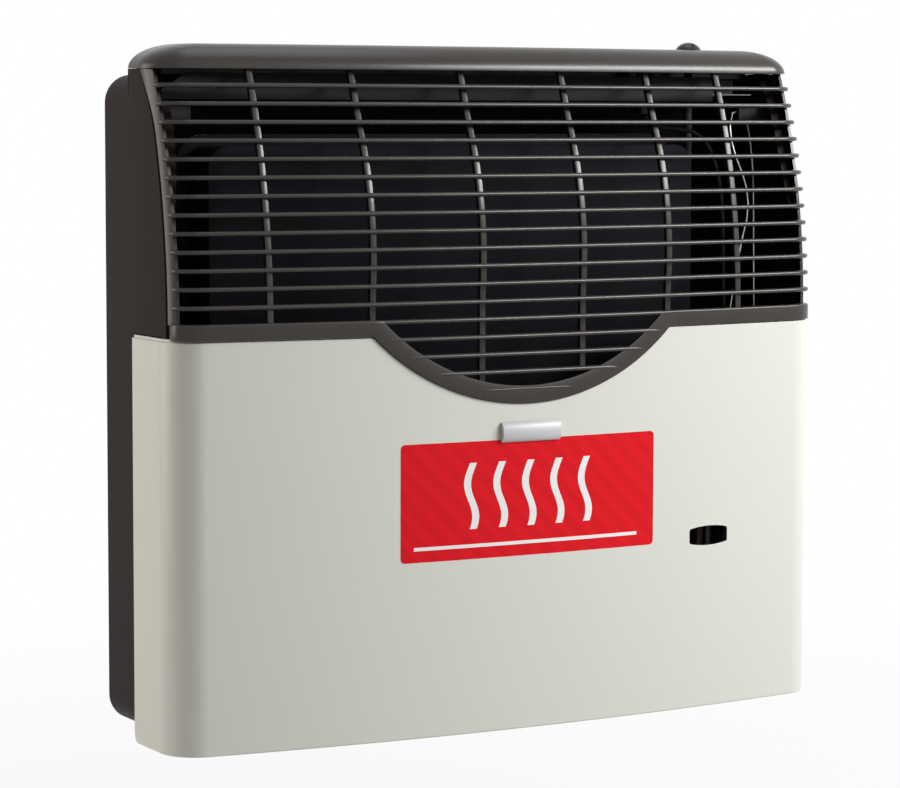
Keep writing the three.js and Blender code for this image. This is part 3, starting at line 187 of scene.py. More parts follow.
def carve(obj, *cutters, operation="DIFFERENCE"):
    for cutter in cutters:
        modify(obj, "BOOLEAN", operation=operation, solver="EXACT", object=cutter)
    for cutter in cutters:
        bpy.data.objects.remove(cutter)
    return obj


def softened(obj, width, segments=2, angle=40, smooth=50):
    modify(obj, "BEVEL", width=width, segments=segments, limit_method="ANGLE",
           angle_limit=math.radians(angle), use_clamp_overlap=True, miter_outer="MITER_ARC")
    return smoothed(obj, smooth)


def smoothed(obj, angle):
    activate(obj)
    bpy.ops.object.shade_smooth_by_angle(angle=math.radians(angle))
    clear()
    return obj


def mirrored(obj):
    editing(obj)
    pick(obj, "FACE", lambda co, normal: abs(co.x) < 1e-6)
    bpy.ops.mesh.delete(type="ONLY_FACE")
    clear()
    modify(obj, "MIRROR", use_axis=(True, False, False), merge_threshold=1e-5, use_mirror_merge=True)
    outwards(obj)
    return obj


def together(name, pieces):
    activate(pieces[0])
    for piece in pieces:
        piece.select_set(True)
    bpy.ops.object.join()
    obj = bpy.context.object
    obj.name = obj.data.name = name
    clear()
    return obj


def copied(obj, shift):
    activate(obj)
    bpy.ops.object.duplicate(linked=False)
    other = bpy.context.object
    bpy.ops.transform.translate(value=tuple(shift))
    return settle(other)


def rod(radius, length, middle, axis="Y", vertices=64):
    clear()
    turnBy = {"X": (0, math.pi / 2, 0), "Y": (math.pi / 2, 0, 0), "Z": (0, 0, 0)}[axis]
    bpy.ops.mesh.primitive_cylinder_add(
        vertices=vertices, radius=radius, depth=length, location=middle, rotation=turnBy)
    return settle(bpy.context.object)


def boxBetween(a, b):
    clear()
    a, b = Vector(a), Vector(b)
    bpy.ops.mesh.primitive_cube_add(size=1, location=(a + b) / 2, scale=b - a)
    return settle(bpy.context.object)


def lathed(name, profile, x, y, steps=48):
    # profile of radius and height, turned about an upright axis
    obj = startLine(name, [(x + r, y, z) for r, z in profile])
    turn(2 * math.pi, (x, y, 0), steps)
    outwards(obj, 2e-6)
    return obj


def filleted(points, steps=5):
    # corners (a, b, radius) of a path or outline, each rounded by its radius
    out = []
    for i, (a, b, r) in enumerate(points):
        if not r:
            out.append((a, b))
            continue
        here = Vector((a, b))
        before = Vector(points[i - 1][:2]) - here
        after = Vector(points[(i + 1) % len(points)][:2]) - here
        half = before.angle(after) / 2
        reach = r / math.tan(half)
        centre = here + (before.normalized() + after.normalized()).normalized() * (r / math.sin(half))
        first, last = here + before.normalized() * reach, here + after.normalized() * reach
        sweep = (first - centre).angle_signed(last - centre)
        for k in range(steps + 1):
            spoke = (first - centre).copy()
            spoke.rotate(Matrix.Rotation(-sweep * k / steps, 2))
            out.append(tuple(centre + spoke))
    return out


def section(points):
    # a profile at the middle of the front: distance behind the bow, and height
    return [(0, front + inset, low + z) for inset, z in points]


def alongFront(stop=0.0, bowSteps=22, cornerSteps=12):
    turn(bowAngle, bowCentre, bowSteps)
    turn(math.pi / 2 - bowAngle - stop, cornerCentre, cornerSteps)


# ---- materials

palette = {  # linear base colour, roughness, metallic, specular level
    "cream_enamel": ((0.7, 0.7, 0.645), 0.36, 0.0, 0.3),
    "brown_enamel": ((0.0175, 0.0115, 0.0108), 0.5, 0.0, 0.05),
    "bronze_moulding": ((0.036, 0.031, 0.027), 0.27, 0.0, 0.34),
    "silver_trim": ((0.58, 0.58, 0.59), 0.45, 0.1, 0.15),
    "black_enamel": ((0.013, 0.012, 0.017), 0.7, 0.0, 0.08),
    "dark_steel": ((0.028, 0.028, 0.03), 0.6, 0.0, 0.12),
    "zinc_steel": ((0.13, 0.132, 0.135), 0.7, 0.5, 0.15),
    "aluminium": ((0.38, 0.385, 0.39), 0.5, 1.0, 0.5),
    "brass": ((0.6, 0.42, 0.17), 0.3, 1.0, 0.5),
    "copper": ((0.25, 0.12, 0.07), 0.55, 1.0, 0.5),
    "black_plastic": ((0.009, 0.009, 0.009), 0.28, 0.0, 0.4),
    "black_rubber": ((0.010, 0.010, 0.010), 0.7, 0.0, 0.08),
    "ceramic": ((0.78, 0.74, 0.66), 0.25, 0.0, 0.5),
    "glass": ((0.75, 0.8, 0.8), 0.05, 0.0, 0.5),
    "fibre": ((0.5, 0.46, 0.38), 0.9, 0.0, 0.2),
}
grain = {  # noise scale per metre, colour spread, roughness spread, bump distance in metres
    "cream_enamel": (900, 0.015, 0.06, 0.00002),
    "brown_enamel": (1400, 0.1, 0.08, 0.00002),
    "bronze_moulding": (1600, 0.08, 0.08, 0.00002),
    "silver_trim": (1500, 0.02, 0.06, 0.00001),
    "black_enamel": (900, 0.1, 0.1, 0.00003),
    "dark_steel": (1500, 0.12, 0.1, 0.00004),
    "zinc_steel": (500, 0.12, 0.12, 0.00001),
    "aluminium": (700, 0.06, 0.1, 0.00001),
    "brass": (700, 0.08, 0.1, 0.00001),
    "copper": (500, 0.15, 0.12, 0.00001),
    "black_plastic": (2200, 0.06, 0.06, 0.00001),
    "black_rubber": (1800, 0.1, 0.06, 0.00002),
    "ceramic": (400, 0.02, 0.05, 0.00001),
    "glass": (300, 0.0, 0.0, 0.0),
    "fibre": (900, 0.3, 0.05, 0.0003),
}


def mathNode(nodes, links, kind, *values):
    node = nodes.new("ShaderNodeMath")
    node.operation = kind
    for socket, value in zip(node.inputs, values):
        if isinstance(value, (int, float)):
            socket.default_value = value
        else:
            links.new(value, socket)
    return node.outputs[0]


def mixNode(nodes, links, mask, a, b):
    node = nodes.new("ShaderNodeMix")
    node.data_type = "RGBA"
    links.new(mask, node.inputs["Factor"])
    for socket, value in ((node.inputs[6], a), (node.inputs[7], b)):
        if isinstance(value, tuple):
            socket.default_value = (*value, 1)
        else:
            links.new(value, socket)
    return node.outputs[2]


def grainGroup():
    group = bpy.data.node_groups.new("fineGrain", "ShaderNodeTree")
    for name, kind in (("Colour", "NodeSocketColor"), ("Roughness", "NodeSocketFloat"),
                       ("Scale", "NodeSocketFloat"), ("Colour Spread", "NodeSocketFloat"),
                       ("Roughness Spread", "NodeSocketFloat"), ("Bump", "NodeSocketFloat")):
        group.interface.new_socket(name=name, in_out="INPUT", socket_type=kind)
    for name, kind in (("Colour", "NodeSocketColor"), ("Roughness", "NodeSocketFloat"),
                       ("Normal", "NodeSocketVector")):
        group.interface.new_socket(name=name, in_out="OUTPUT", socket_type=kind)
    nodes, links = group.nodes, group.links
    taken, given = nodes.new("NodeGroupInput"), nodes.new("NodeGroupOutput")
    place = nodes.new("ShaderNodeTexCoord")
    fine, broad = nodes.new("ShaderNodeTexNoise"), nodes.new("ShaderNodeTexNoise")
    links.new(place.outputs["Object"], fine.inputs["Vector"])
    links.new(place.outputs["Object"], broad.inputs["Vector"])
    links.new(taken.outputs["Scale"], fine.inputs["Scale"])
    broad.inputs["Scale"].default_value = 14
    fine.inputs["Detail"].default_value = broad.inputs["Detail"].default_value = 2

    def centred(source, spread, base=0.0):
        # base + spread * (noise - 0.5)
        away = mathNode(nodes, links, "SUBTRACT", source, 0.5)
        return mathNode(nodes, links, "MULTIPLY_ADD", away, spread, base)

    mixed = mathNode(nodes, links, "ADD", centred(fine.outputs["Fac"], taken.outputs["Colour Spread"], 1.0),
                     centred(broad.outputs["Fac"], taken.outputs["Colour Spread"]))
    tint = nodes.new("ShaderNodeVectorMath")
    tint.operation = "SCALE"
    links.new(taken.outputs["Colour"], tint.inputs[0])
    links.new(mixed, tint.inputs["Scale"])
    links.new(tint.outputs[0], given.inputs["Colour"])
    rough = centred(broad.outputs["Fac"], taken.outputs["Roughness Spread"], taken.outputs["Roughness"])
    links.new(rough, given.inputs["Roughness"])
    bump = nodes.new("ShaderNodeBump")
    bump.inputs["Strength"].default_value = 1
    links.new(taken.outputs["Bump"], bump.inputs["Distance"])
    links.new(fine.outputs["Fac"], bump.inputs["Height"])
    links.new(bump.outputs["Normal"], given.inputs["Normal"])
    return group


fineGrain = grainGroup()


def finish(name, colour, roughness, metallic, specular, scale, spread, roughSpread, bump):
    material = bpy.data.materials.new(name)
    material.use_nodes = True
    nodes, links = material.node_tree.nodes, material.node_tree.links
    shader = nodes["Principled BSDF"]
    shader.inputs["Metallic"].default_value = metallic
    shader.inputs["Specular IOR Level"].default_value = specular
    group = nodes.new("ShaderNodeGroup")
    group.node_tree = fineGrain
    for key, value in (("Colour", (*colour, 1)), ("Roughness", roughness), ("Scale", scale),
                       ("Colour Spread", spread), ("Roughness Spread", roughSpread), ("Bump", bump)):
        group.inputs[key].default_value = value
    links.new(group.outputs["Colour"], shader.inputs["Base Color"])
    links.new(group.outputs["Roughness"], shader.inputs["Roughness"])
    links.new(group.outputs["Normal"], shader.inputs["Normal"])
    return material


def slotMaterials():
    made = {}
    for slot, (colour, roughness, metallic, specular) in palette.items():
        material = finish(slot, colour, roughness, metallic, specular, *grain[slot])
        shader = material.node_tree.nodes["Principled BSDF"]
        if slot == "cream_enamel":
            shader.inputs["Coat Weight"].default_value = 0.1
            shader.inputs["Coat Roughness"].default_value = 0.2
        if slot == "glass":
            shader.inputs["Transmission Weight"].default_value = 0.9
            shader.inputs["IOR"].default_value = 1.47
        made[slot] = material
    return made


materials = slotMaterials()
slotOf = {row["node"]: row["material_slot"] for row in frame["record"]["subparts"]}
print("materials:", len(materials))


def dress(obj, slot, body, *nodes):
    obj.data.materials.clear()
    obj.data.materials.append(materials[slot])
    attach(obj, body)
    if nodes:
        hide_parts(*nodes)
    return obj


# ---- front cover

cover = {
    "height": 0.363,
    "back": 0.07,
    "returnWidth": 0.020,
    "footRound": 0.0016,
    "topRound": 0.0014,
    "lipInset": 0.002,
    "lipHeight": 0.0022,
    "rearCorner": 0.009,
    "archHalfWidth": 0.156,
    "archDrop": 0.0645,
    "holeX": 0.205,
    "holeZ": 0.1635,
    "holeWidth": 0.0455,
    "holeHeight": 0.0186,
    "holeBarrel": 0.72,  # half width of the ellipse that bows the hole's long sides
    "holeRound": 0.0022,
}
archRadius = (cover["archHalfWidth"] ** 2 + cover["archDrop"] ** 2) / (2 * cover["archDrop"])
archCentre = Vector((0, front, low + cover["height"] - cover["archDrop"] + archRadius))


def holeCutter(width, height, depth):
    x, z, start = cover["holeX"], low + cover["holeZ"], front - 0.01
    hole = boxBetween((x - width / 2, start, z - height / 2), (x + width / 2, start + depth, z + height / 2))
    barrel = rod(1, depth * 2, (0, 0, 0), "Y", 96)
    activate(barrel)
    bpy.ops.transform.resize(value=(width * cover["holeBarrel"], 1, height / 2))
    bpy.ops.transform.translate(value=(x, front, z))
    carve(hole, settle(barrel), operation="INTERSECT")
    editing(hole)
    pick(hole, "EDGE", lambda co, along: abs(along.y) > 0.9 and abs(co.x - x) > width / 2 - 0.0001)
    bpy.ops.mesh.bevel(offset=cover["holeRound"], segments=5, profile=0.5)
    clear()
    return hole


def frontCover():
    top, lip = cover["height"], cover["lipInset"]
    # extra levels keep the shading flat round the hole and under the arch
    levels = [cover["holeZ"] - 0.016, cover["holeZ"] + 0.016, top - cover["archDrop"] - 0.006]
    profile = filleted([
        (cover["returnWidth"], 0, 0), (0, 0, cover["footRound"]), *((0, z, 0) for z in levels),
        (0, top, cover["topRound"]),
        (lip, top, 0.0003), (lip, top + cover["lipHeight"], 0)])
    obj = startLine("frontCover", section(profile))
    alongFront(bowSteps=30, cornerSteps=14)
    pull((0, -cover["back"] - cornerCentre.y, 0))
    obj = mirrored(obj)
    modify(obj, "SOLIDIFY", thickness=cabinet["sheet"], offset=-1, use_even_offset=True)
    arch = rod(archRadius, 0.12, archCentre, vertices=256)
    corner = cover["rearCorner"]
    back = -cover["back"]
    edge = boxBetween((-0.4, back - corner, low - 0.001), (0.4, back + 0.001, low + corner))
    carve(edge, rod(corner, 1, (0, back - corner, low + corner), "X", 48))
    carve(obj, arch, holeCutter(cover["holeWidth"], cover["holeHeight"], 0.05), edge)
    softened(obj, 0.00035, 2, 50, 40)
    return modify(obj, "WEIGHTED_NORMAL", keep_sharp=True)


coverPiece = dress(frontCover(), "cream_enamel", "heater", "front_cover")
print("front cover:", len(coverPiece.data.polygons))

# ---- grille

louvres = {
    "pitch": 0.016,
    "finHeight": 0.0044,
    "finDepth": 0.011,
    "finBack": 0.0034,  # height of a fin's back edge
    "proud": 0.002,  # noses beyond the cover's face
    "railBottom": 0.364,
    "railTop": 0.3785,
    "railThickness": 0.0028,
    "railReturn": 0.0052,  # from the tip back to the side panel
    "fall": 0.0427,
    "bandWidth": 0.0165,
    "bandGap": 0.0006,
    "fullFins": 14,
    "archFins": 3,
    "archTaper": 0.010,  # length over which an arch fin thins out
    "archThin": 0.66,
    "archDraw": 0.00018,
    "footReach": 0.052,  # the short fin at the foot of the arch
    "footDepth": 0.003,
    "tipStart": math.radians(46),  # where the corner's arc gives way to the tip's own
    "tipRadius": 0.014,
    "tipTurn": math.radians(42),
    "stripInset": 0.003,
    "stripThickness": 0.0025,
    "stripForward": 0.0107,
    "stripInner": 0.0188,
    "stripTop": 0.0169,
    "ribs": (-0.2495, -0.151, -0.0415, 0.065, 0.161, 0.242),
    "ribShift": -0.0013,
    "ribWidth": 0.006,
    "ribDepth": 0.0045,
    "ribInset": 0.003,
    "ribBulge": 0.475,  # height at which the middle ribs stand foremost
    "ribDeepest": 0.0078,
}
lowestFin = louvres["railTop"] - louvres["finHeight"] / 2
leanRise = cabinet["height"] - lowestFin
leanRadius = (leanRise ** 2 + louvres["fall"] ** 2) / (2 * louvres["fall"])
panelSweep = {"depth": 0.012, "height": 0.058}


def lean(z):
    rise = max(z - lowestFin, 0)
    return leanRadius - math.sqrt(leanRadius ** 2 - rise ** 2)


def topFall(z):
    share = max(z - (cabinet["height"] - panelSweep["height"]), 0) / panelSweep["height"]
    return panelSweep["depth"] * share ** 2


def finProfile(z, proud, depth):
    h, b = louvres["finHeight"] / 2, louvres["finBack"] / 2
    nose = h * 0.96
    return section([(a - proud, z + t) for a, t in filleted(
        [(0, -h, nose), (depth, -b, 0.0004), (depth, b, 0.0004), (0, h, nose)], 5)])


def alongTip():
    # along the front, then round the tip's own smaller arc
    alongFront(louvres["tipStart"], 26, 8)
    away = cabinet["corner"] + louvres["proud"] - louvres["tipRadius"]
    angle = louvres["tipStart"]
    turn(louvres["tipTurn"], cornerCentre + Vector((away * math.cos(angle), -away * math.sin(angle), 0)), 7)


def fullFin():
    obj = startLine("fin", finProfile(lowestFin, louvres["proud"], louvres["finDepth"]), True, True)
    alongTip()
    obj = mirrored(obj)
    return smoothed(obj, 45)


def archFin(z, reach, proud, depth):
    obj = startLine("archFin", finProfile(z, proud, depth), True, True)
    angle = math.asin(reach / bowRadius)
    taper = louvres["archTaper"] / bowRadius
    turn(angle - taper, bowCentre, 8)
    for _ in range(3):
        turn(taper / 3, bowCentre, 1)
        bpy.ops.transform.resize(value=(1, 1, louvres["archThin"]), center_override=(0, 0, low + z))
        bpy.ops.transform.translate(value=(0, louvres["archDraw"], 0))
    obj = mirrored(obj)
    return smoothed(obj, 45)


def bandMask():
    # the outline of rail and arch band seen from the front, as a block
    outer = archRadius - louvres["bandGap"]
    inner = archRadius - louvres["bandWidth"]
    bottom, top = low + louvres["railBottom"], low + louvres["railTop"] + 0.004
    y = front - 0.02

    def meets(radius, z):
        return math.sqrt(radius ** 2 - (archCentre.z - z) ** 2)

    xo, xi = meets(outer, bottom), meets(inner, top)
    obj = startLine("bandMask", [(-0.4, y, bottom), (-xo, y, bottom)])
    pick(obj, "VERT", lambda co: abs(co.x + xo) < 1e-5)
    axis = (0, 1, 0)
    span = 2 * math.asin(xo / outer)
    turn(-span, archCentre, 120, axis)
    last = Vector((xo, y, bottom))
    for point in ((0.4, y, bottom), (0.4, y, top), (xi, y, top)):
        pull(Vector(point) - last)
        last = Vector(point)
    turn(2 * math.asin(xi / inner), archCentre, 110, axis)
    pull((-0.4 + xi, 0, 0))
    bpy.ops.mesh.select_all(action="SELECT")
    bpy.ops.mesh.remove_doubles(threshold=1e-6)
    pick(obj, "VERT", lambda co: co.x < -0.399)
    bpy.ops.mesh.edge_face_add()
    bpy.ops.mesh.select_all(action="SELECT")
    bpy.ops.mesh.edge_face_add()
    pull((0, 0.1, 0))
    outwards(obj)
    return obj


def railAndBand():
    thick, proud = louvres["railThickness"], louvres["proud"]
    bottom = cover["height"] - cover["archDrop"] - 0.002
    profile = filleted([(0, bottom, 0), (thick, bottom, 0), (thick, louvres["railTop"], 0),
                        (0, louvres["railTop"], 0.0021)], 6)
    obj = startLine("rail", section([(a - proud, z) for a, z in profile]), True, True)
    alongTip()
    pull((0, louvres["railReturn"], 0))
    obj = mirrored(obj)
    carve(obj, bandMask(), operation="INTERSECT")
    return softened(obj, 0.0005, 2, 50, 40)


def ribRecess(x, z):
    # the outer ribs keep their depth, the middle ones draw back towards both ends
    if abs(x) > 0.2:
        return louvres["ribInset"]
    return min(0.001 + (z - louvres["ribBulge"]) ** 2, louvres["ribDeepest"])


def ribPiece(x):
    inner = archRadius - louvres["bandWidth"] / 2
    inside = abs(x) < cover["archHalfWidth"] - louvres["bandWidth"]
    bottom = archCentre.z - low - math.sqrt(inner ** 2 - x ** 2) if inside else louvres["railTop"] - 0.007
    y = bowCentre.y - math.sqrt((bowRadius - ribRecess(x, bottom)) ** 2 - x ** 2)
    half, deep, middle = louvres["ribWidth"] / 2, louvres["ribDepth"], x + louvres["ribShift"]
    outline = filleted([(middle - half, y, 0.0007), (middle + half, y, 0.0007),
                        (middle + half, y + deep, 0), (middle - half, y + deep, 0)], 2)
    obj = startLine("rib", [(a, b, low + bottom) for a, b in outline], True, True)
    steps = 14
    heights = [bottom + (cabinet["height"] + 0.001 - bottom) * i / steps for i in range(steps + 1)]
    for a, b in zip(heights, heights[1:]):
        pull((0, lean(b) - lean(a) + ribRecess(x, b) - ribRecess(x, a), b - a))
    outwards(obj)
    return smoothed(obj, 35)


def stripRing(z):
    rise = max(z - louvres["railTop"], 0) / (cabinet["height"] - louvres["railTop"])
    start = louvres["stripForward"] * (1 - topFall(z) / panelSweep["depth"])
    end = louvres["stripInner"] + (louvres["stripTop"] - louvres["stripInner"]) * rise ** 2
    points = []
    for deeper, flip in ((0, False), (louvres["stripThickness"], True)):
        radius = cabinet["corner"] - (louvres["stripInset"] + deeper)
        a, b = math.asin(start / radius), math.asin(end / radius)
        arc = [a + (b - a) * i / 6 for i in range(7)]
        for t in reversed(arc) if flip else arc:
            spoke = Vector((radius * math.cos(t), lean(z) - radius * math.sin(t), low + z))
            points.append(cornerCentre + spoke)
    return points


def endStrip():
    levels = 26
    first, last = louvres["railTop"] - 0.001, cabinet["height"] + 0.0024
    rings = [stripRing(first + (last - first) * i / levels) for i in range(levels + 1)]
    obj = startLine("endStrip", rings[0], True, True)
    for old, new in zip(rings, rings[1:]):
        growTo(obj, old, new)
    outwards(obj)
    return smoothed(obj, 40)


def flipped(obj):
    activate(obj)
    bpy.ops.object.duplicate(linked=False)
    other = bpy.context.object
    other.scale = (-1, 1, 1)
    settle(other)
    outwards(other)
    return other


def topRail():
    inset = louvres["stripInset"]
    shift = lean(cabinet["height"])
    z0, z1 = cabinet["height"] - 0.0002, cabinet["height"] + 0.0024
    corners = ((inset, z0), (inset + 0.005, z0), (inset + 0.005, z1), (inset, z1))
    obj = startLine("topRail", [(0, front + a + shift, low + z) for a, z in corners], True, True)
    centreShift = Vector((0, shift, 0))
    turn(bowAngle, bowCentre + centreShift, 20)
    cornerTurn = math.pi / 2 - bowAngle - math.asin(louvres["stripForward"] / cabinet["corner"])
    turn(cornerTurn, cornerCentre + centreShift, 8)
    return mirrored(obj)


def grille():
    fin = fullFin()
    pieces = [fin]
    for i in range(1, louvres["fullFins"]):
        rise = i * louvres["pitch"]
        pieces.append(copied(fin, (0, lean(lowestFin + rise), rise)))
    middle = archRadius - louvres["bandWidth"] / 2
    for i in range(1, louvres["archFins"] + 1):
        z = lowestFin - i * louvres["pitch"]
        reach = math.sqrt(middle ** 2 - (archCentre.z - low - z) ** 2)
        pieces.append(archFin(z, reach + 0.005, louvres["proud"] + 0.0005, louvres["finDepth"]))
    z = lowestFin - (louvres["archFins"] + 1) * louvres["pitch"]
    pieces.append(archFin(z, louvres["footReach"], louvres["proud"] + 0.0004, louvres["footDepth"]))
    pieces.append(railAndBand())
    pieces += [ribPiece(x) for x in louvres["ribs"]]
    strip = endStrip()
    pieces += [strip, flipped(strip), topRail()]
    return together("grilleMoulding", pieces)


grillePiece = dress(grille(), "bronze_moulding", "heater", "grille")
print("grille:", len(grillePiece.data.polygons))

# ---- top cap

capShape = {
    "height": 0.022,
    "frontRound": 0.026,
    "endRound": 0.050,
    "back": 0.065,
    "wall": 0.0016,
    "skirtHalf": 0.3147,  # the back wall reaches down to the casing between the panels' flanges
    "skirtDrop": 0.00495,
    "knobHole": 0.0155,
    "buttonHole": 0.0084,
}
knobBox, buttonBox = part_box("control_knob"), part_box("igniter_button")
knobX, knobY = (knobBox[0].x + knobBox[1].x) / 2, (knobBox[0].y + knobBox[1].y) / 2
buttonX, buttonY = (buttonBox[0].x + buttonBox[1].x) / 2, (buttonBox[0].y + buttonBox[1].y) / 2


def capRing(turned):
    inward = 1 - math.cos(turned)
    inset = capShape["frontRound"] * inward
    half = halfWidth - capShape["endRound"] * inward
    shift = lean(cabinet["height"]) - louvres["proud"]
    z = low + cabinet["height"] + capShape["height"] * math.sin(turned)
    radius = cabinet["corner"] - inset
    right = []
    bow = bowRadius - inset
    for i in range(25):
        angle = bowAngle * i / 24
        right.append((bow * math.sin(angle), bowCentre.y - bow * math.cos(angle)))
    for i in range(1, 13):
        angle = bowAngle + (math.pi / 2 - bowAngle) * i / 12
        right.append((cornerX + radius * math.sin(angle), cornerCentre.y - radius * math.cos(angle)))
    stretch = half / right[-1][0]
    back = -capShape["back"]
    right = [(x * stretch, min(y + shift, back - 0.001)) for x, y in right] + [(half, back)]
    left = [(-x, y) for x, y in reversed(right[1:])]
    return [Vector((x, y, z)) for x, y in left + right]


def topCap():
    rings = [capRing(math.radians(a)) for a in (0, 4, 10, 17, 25, 33, 42, 51, 60, 69, 77, 84, 90)]
    obj = startLine("topCap", rings[0], True)
    for old, new in zip(rings, rings[1:]):
        growTo(obj, old, new)
    bpy.ops.mesh.edge_face_add()
    outwards(obj)
    modify(obj, "SOLIDIFY", thickness=capShape["wall"], offset=-1)
    rim, top = low + cabinet["height"], low + cabinet["height"] + capShape["height"]
    back, reach = -capShape["back"], capShape["skirtHalf"]
    skirt = boxBetween((-reach, back - capShape["wall"] + 0.0001, rim - capShape["skirtDrop"]),
                       (reach, back - 0.0001, rim + 0.001))
    carve(obj, skirt, operation="UNION")
    carve(obj, rod(capShape["knobHole"], 0.04, (knobX, knobY, top), "Z", 64),
          rod(capShape["buttonHole"], 0.04, (buttonX, buttonY, top), "Z", 48))
    softened(obj, 0.00025, 2, 55, 35)
    return modify(obj, "WEIGHTED_NORMAL", keep_sharp=True)


capPiece = dress(topCap(), "bronze_moulding", "heater", "top_cap")
print("top cap:", len(capPiece.data.polygons))

# ---- rear casing

casing = {
    "inset": 0.0048,
    "bottom": 0.0075,
    "top": 0.594,
    "depth": 0.075,
    "corner": 0.025,
    "backRound": 0.0015,
    "screwX": 0.26,
    "screwInset": 0.07,
    "screwRadius": 0.0045,
    "flueX": -0.025,
    "flueZ": 0.4,
    "flueRadius": 0.0503,
}


def rearCasing():
    half = halfWidth - casing["inset"]
    obj = boxBetween((-half, -casing["depth"], low + casing["bottom"]), (half, 0, low + casing["top"]))
    obj.name = obj.data.name = "rearCasing"
    editing(obj)
    pick(obj, "EDGE", lambda co, along: abs(along.y) > 0.9)
    bpy.ops.mesh.bevel(offset=casing["corner"], segments=12, profile=0.5)
    pick(obj, "FACE", lambda co, normal: normal.y < -0.9)
    bpy.ops.mesh.delete(type="FACE")
    pick(obj, "EDGE", lambda co, along: co.y > -1e-5 and abs(along.y) < 0.1)
    bpy.ops.mesh.bevel(offset=casing["backRound"], segments=3, profile=0.5)
    clear()
    outwards(obj)
    modify(obj, "SOLIDIFY", thickness=cabinet["sheet"], offset=-1)
    cutters = [rod(casing["flueRadius"], 0.02, (casing["flueX"], 0, low + casing["flueZ"]), "Y", 96)]
    for x in (-casing["screwX"], casing["screwX"]):
        for z in (casing["bottom"] + casing["screwInset"], casing["top"] - casing["screwInset"]):
            cutters.append(rod(casing["screwRadius"], 0.02, (x, 0, low + z), "Y", 32))
    carve(obj, *cutters)
    softened(obj, 0.0004, 2, 60, 40)
    return modify(obj, "WEIGHTED_NORMAL", keep_sharp=True)


casingPiece = dress(rearCasing(), "brown_enamel", "heater", "rear_casing")
print("rear casing:", len(casingPiece.data.polygons))

# ---- side panels

panel = {
    "inset": 0.0033,
    "back": 0.057,
    "front": 0.0202,  # behind the corner line
    "overlap": 0.018,
    "topGap": 0.0003,
    "bend": 0.0012,
    "returnWidth": 0.0195,
    "returnHeight": 0.56,
    "returnTaper": 0.034,
    "leastReturn": 0.0055,
    "flange": 0.022,
    "lip": 0.022,
}


def panelEdge(z):
    return -cabinet["cornerLine"] + panel["front"] + lean(z) + topFall(z)


def panelRing(z, side):
    outer = halfWidth - panel["inset"]
    narrowing = max(panel["returnHeight"] - z, 0) / panel["returnTaper"]
    inner = outer - max(panel["returnWidth"] - 0.001 * narrowing ** 2, panel["leastReturn"])
    bend = panel["bend"]
    edge = panelEdge(z)
    plan = filleted([(outer, -panel["back"], 0), (outer, edge, bend), (inner, edge, 0)], 4)
    return [Vector((side * x, y, low + z)) for x, y in plan]


def sidePanel(side, node):
    shoulder = cover["height"] + cover["lipHeight"] + 0.0004
    top = cabinet["height"] - panel["topGap"]
    rings = [panelRing(shoulder + (top - shoulder) * i / 30, side) for i in range(31)]
    obj = startLine("panel", rings[0])
    for old, new in zip(rings, rings[1:]):
        growTo(obj, old, new)
    outwards(obj)
    outer, sheet, back = halfWidth - panel["inset"], cabinet["sheet"], -panel["back"]
    start, end = sorted((side * outer, side * (outer - sheet)))
    skirt = boxBetween((start, cornerCentre.y + sheet, low + cover["height"] - panel["overlap"]),
                       (end, back, low + shoulder + 0.0005))
    start, end = sorted((side * (outer - sheet / 2), side * (outer - panel["flange"])))
    shelf = boxBetween((start, panelEdge(top) + sheet / 2, low + top - sheet), (end, back, low + top))
    # a lip under the shelf follows the casing's round corner
    start, end = sorted((side * outer, side * (outer - panel["flange"])))
    lip = boxBetween((start, back - sheet, low + top - panel["lip"]), (end, back, low + top - 0.001))
    roundX = side * (halfWidth - casing["inset"] - casing["corner"])
    roundZ = low + casing["top"] - casing["corner"]
    carve(lip, rod(casing["corner"] + 0.0003, 0.01, (roundX, back, roundZ), "Y", 96))
    outwardFace = sum(f.normal.x * side * f.area for f in obj.data.polygons)
    modify(obj, "SOLIDIFY", thickness=cabinet["sheet"], offset=-1 if outwardFace > 0 else 1)
    outwards(obj)
    smoothed(obj, 40)
    return together(node, [obj, skirt, shelf, lip])


for side, word in ((-1, "left"), (1, "right")):
    dress(sidePanel(side, f"sidePanel{word.title()}"), "brown_enamel", "heater", f"side_panel_{word}")
print("side panels")

# ---- badge plate, bare

badge = {"width": 0.0615, "height": 0.0185, "depth": 0.005, "x": 0.0025, "drop": 0.0252}


def badgePlate():
    z = low + cover["height"] - cover["archDrop"] - badge["drop"]
    back = front - 0.0003
    obj = rod(1, badge["width"], (0, 0, 0), "X", 64)
    obj.name = obj.data.name = "badgePlate"
    editing(obj)
    bpy.ops.mesh.select_all(action="SELECT")
    bpy.ops.transform.resize(value=(1, badge["depth"], badge["height"] / 2))
    bpy.ops.transform.translate(value=(badge["x"], back, z))
    bpy.ops.mesh.bisect(plane_co=(0, back, 0), plane_no=(0, 1, 0), clear_outer=True, use_fill=True)
    clear()
    outwards(obj)
    return softened(obj, 0.0005, 3, 50, 40)


dress(badgePlate(), "silver_trim", "heater", "badge_plate")

# ---- printed label: a generic red field with plain rising-warmth strokes

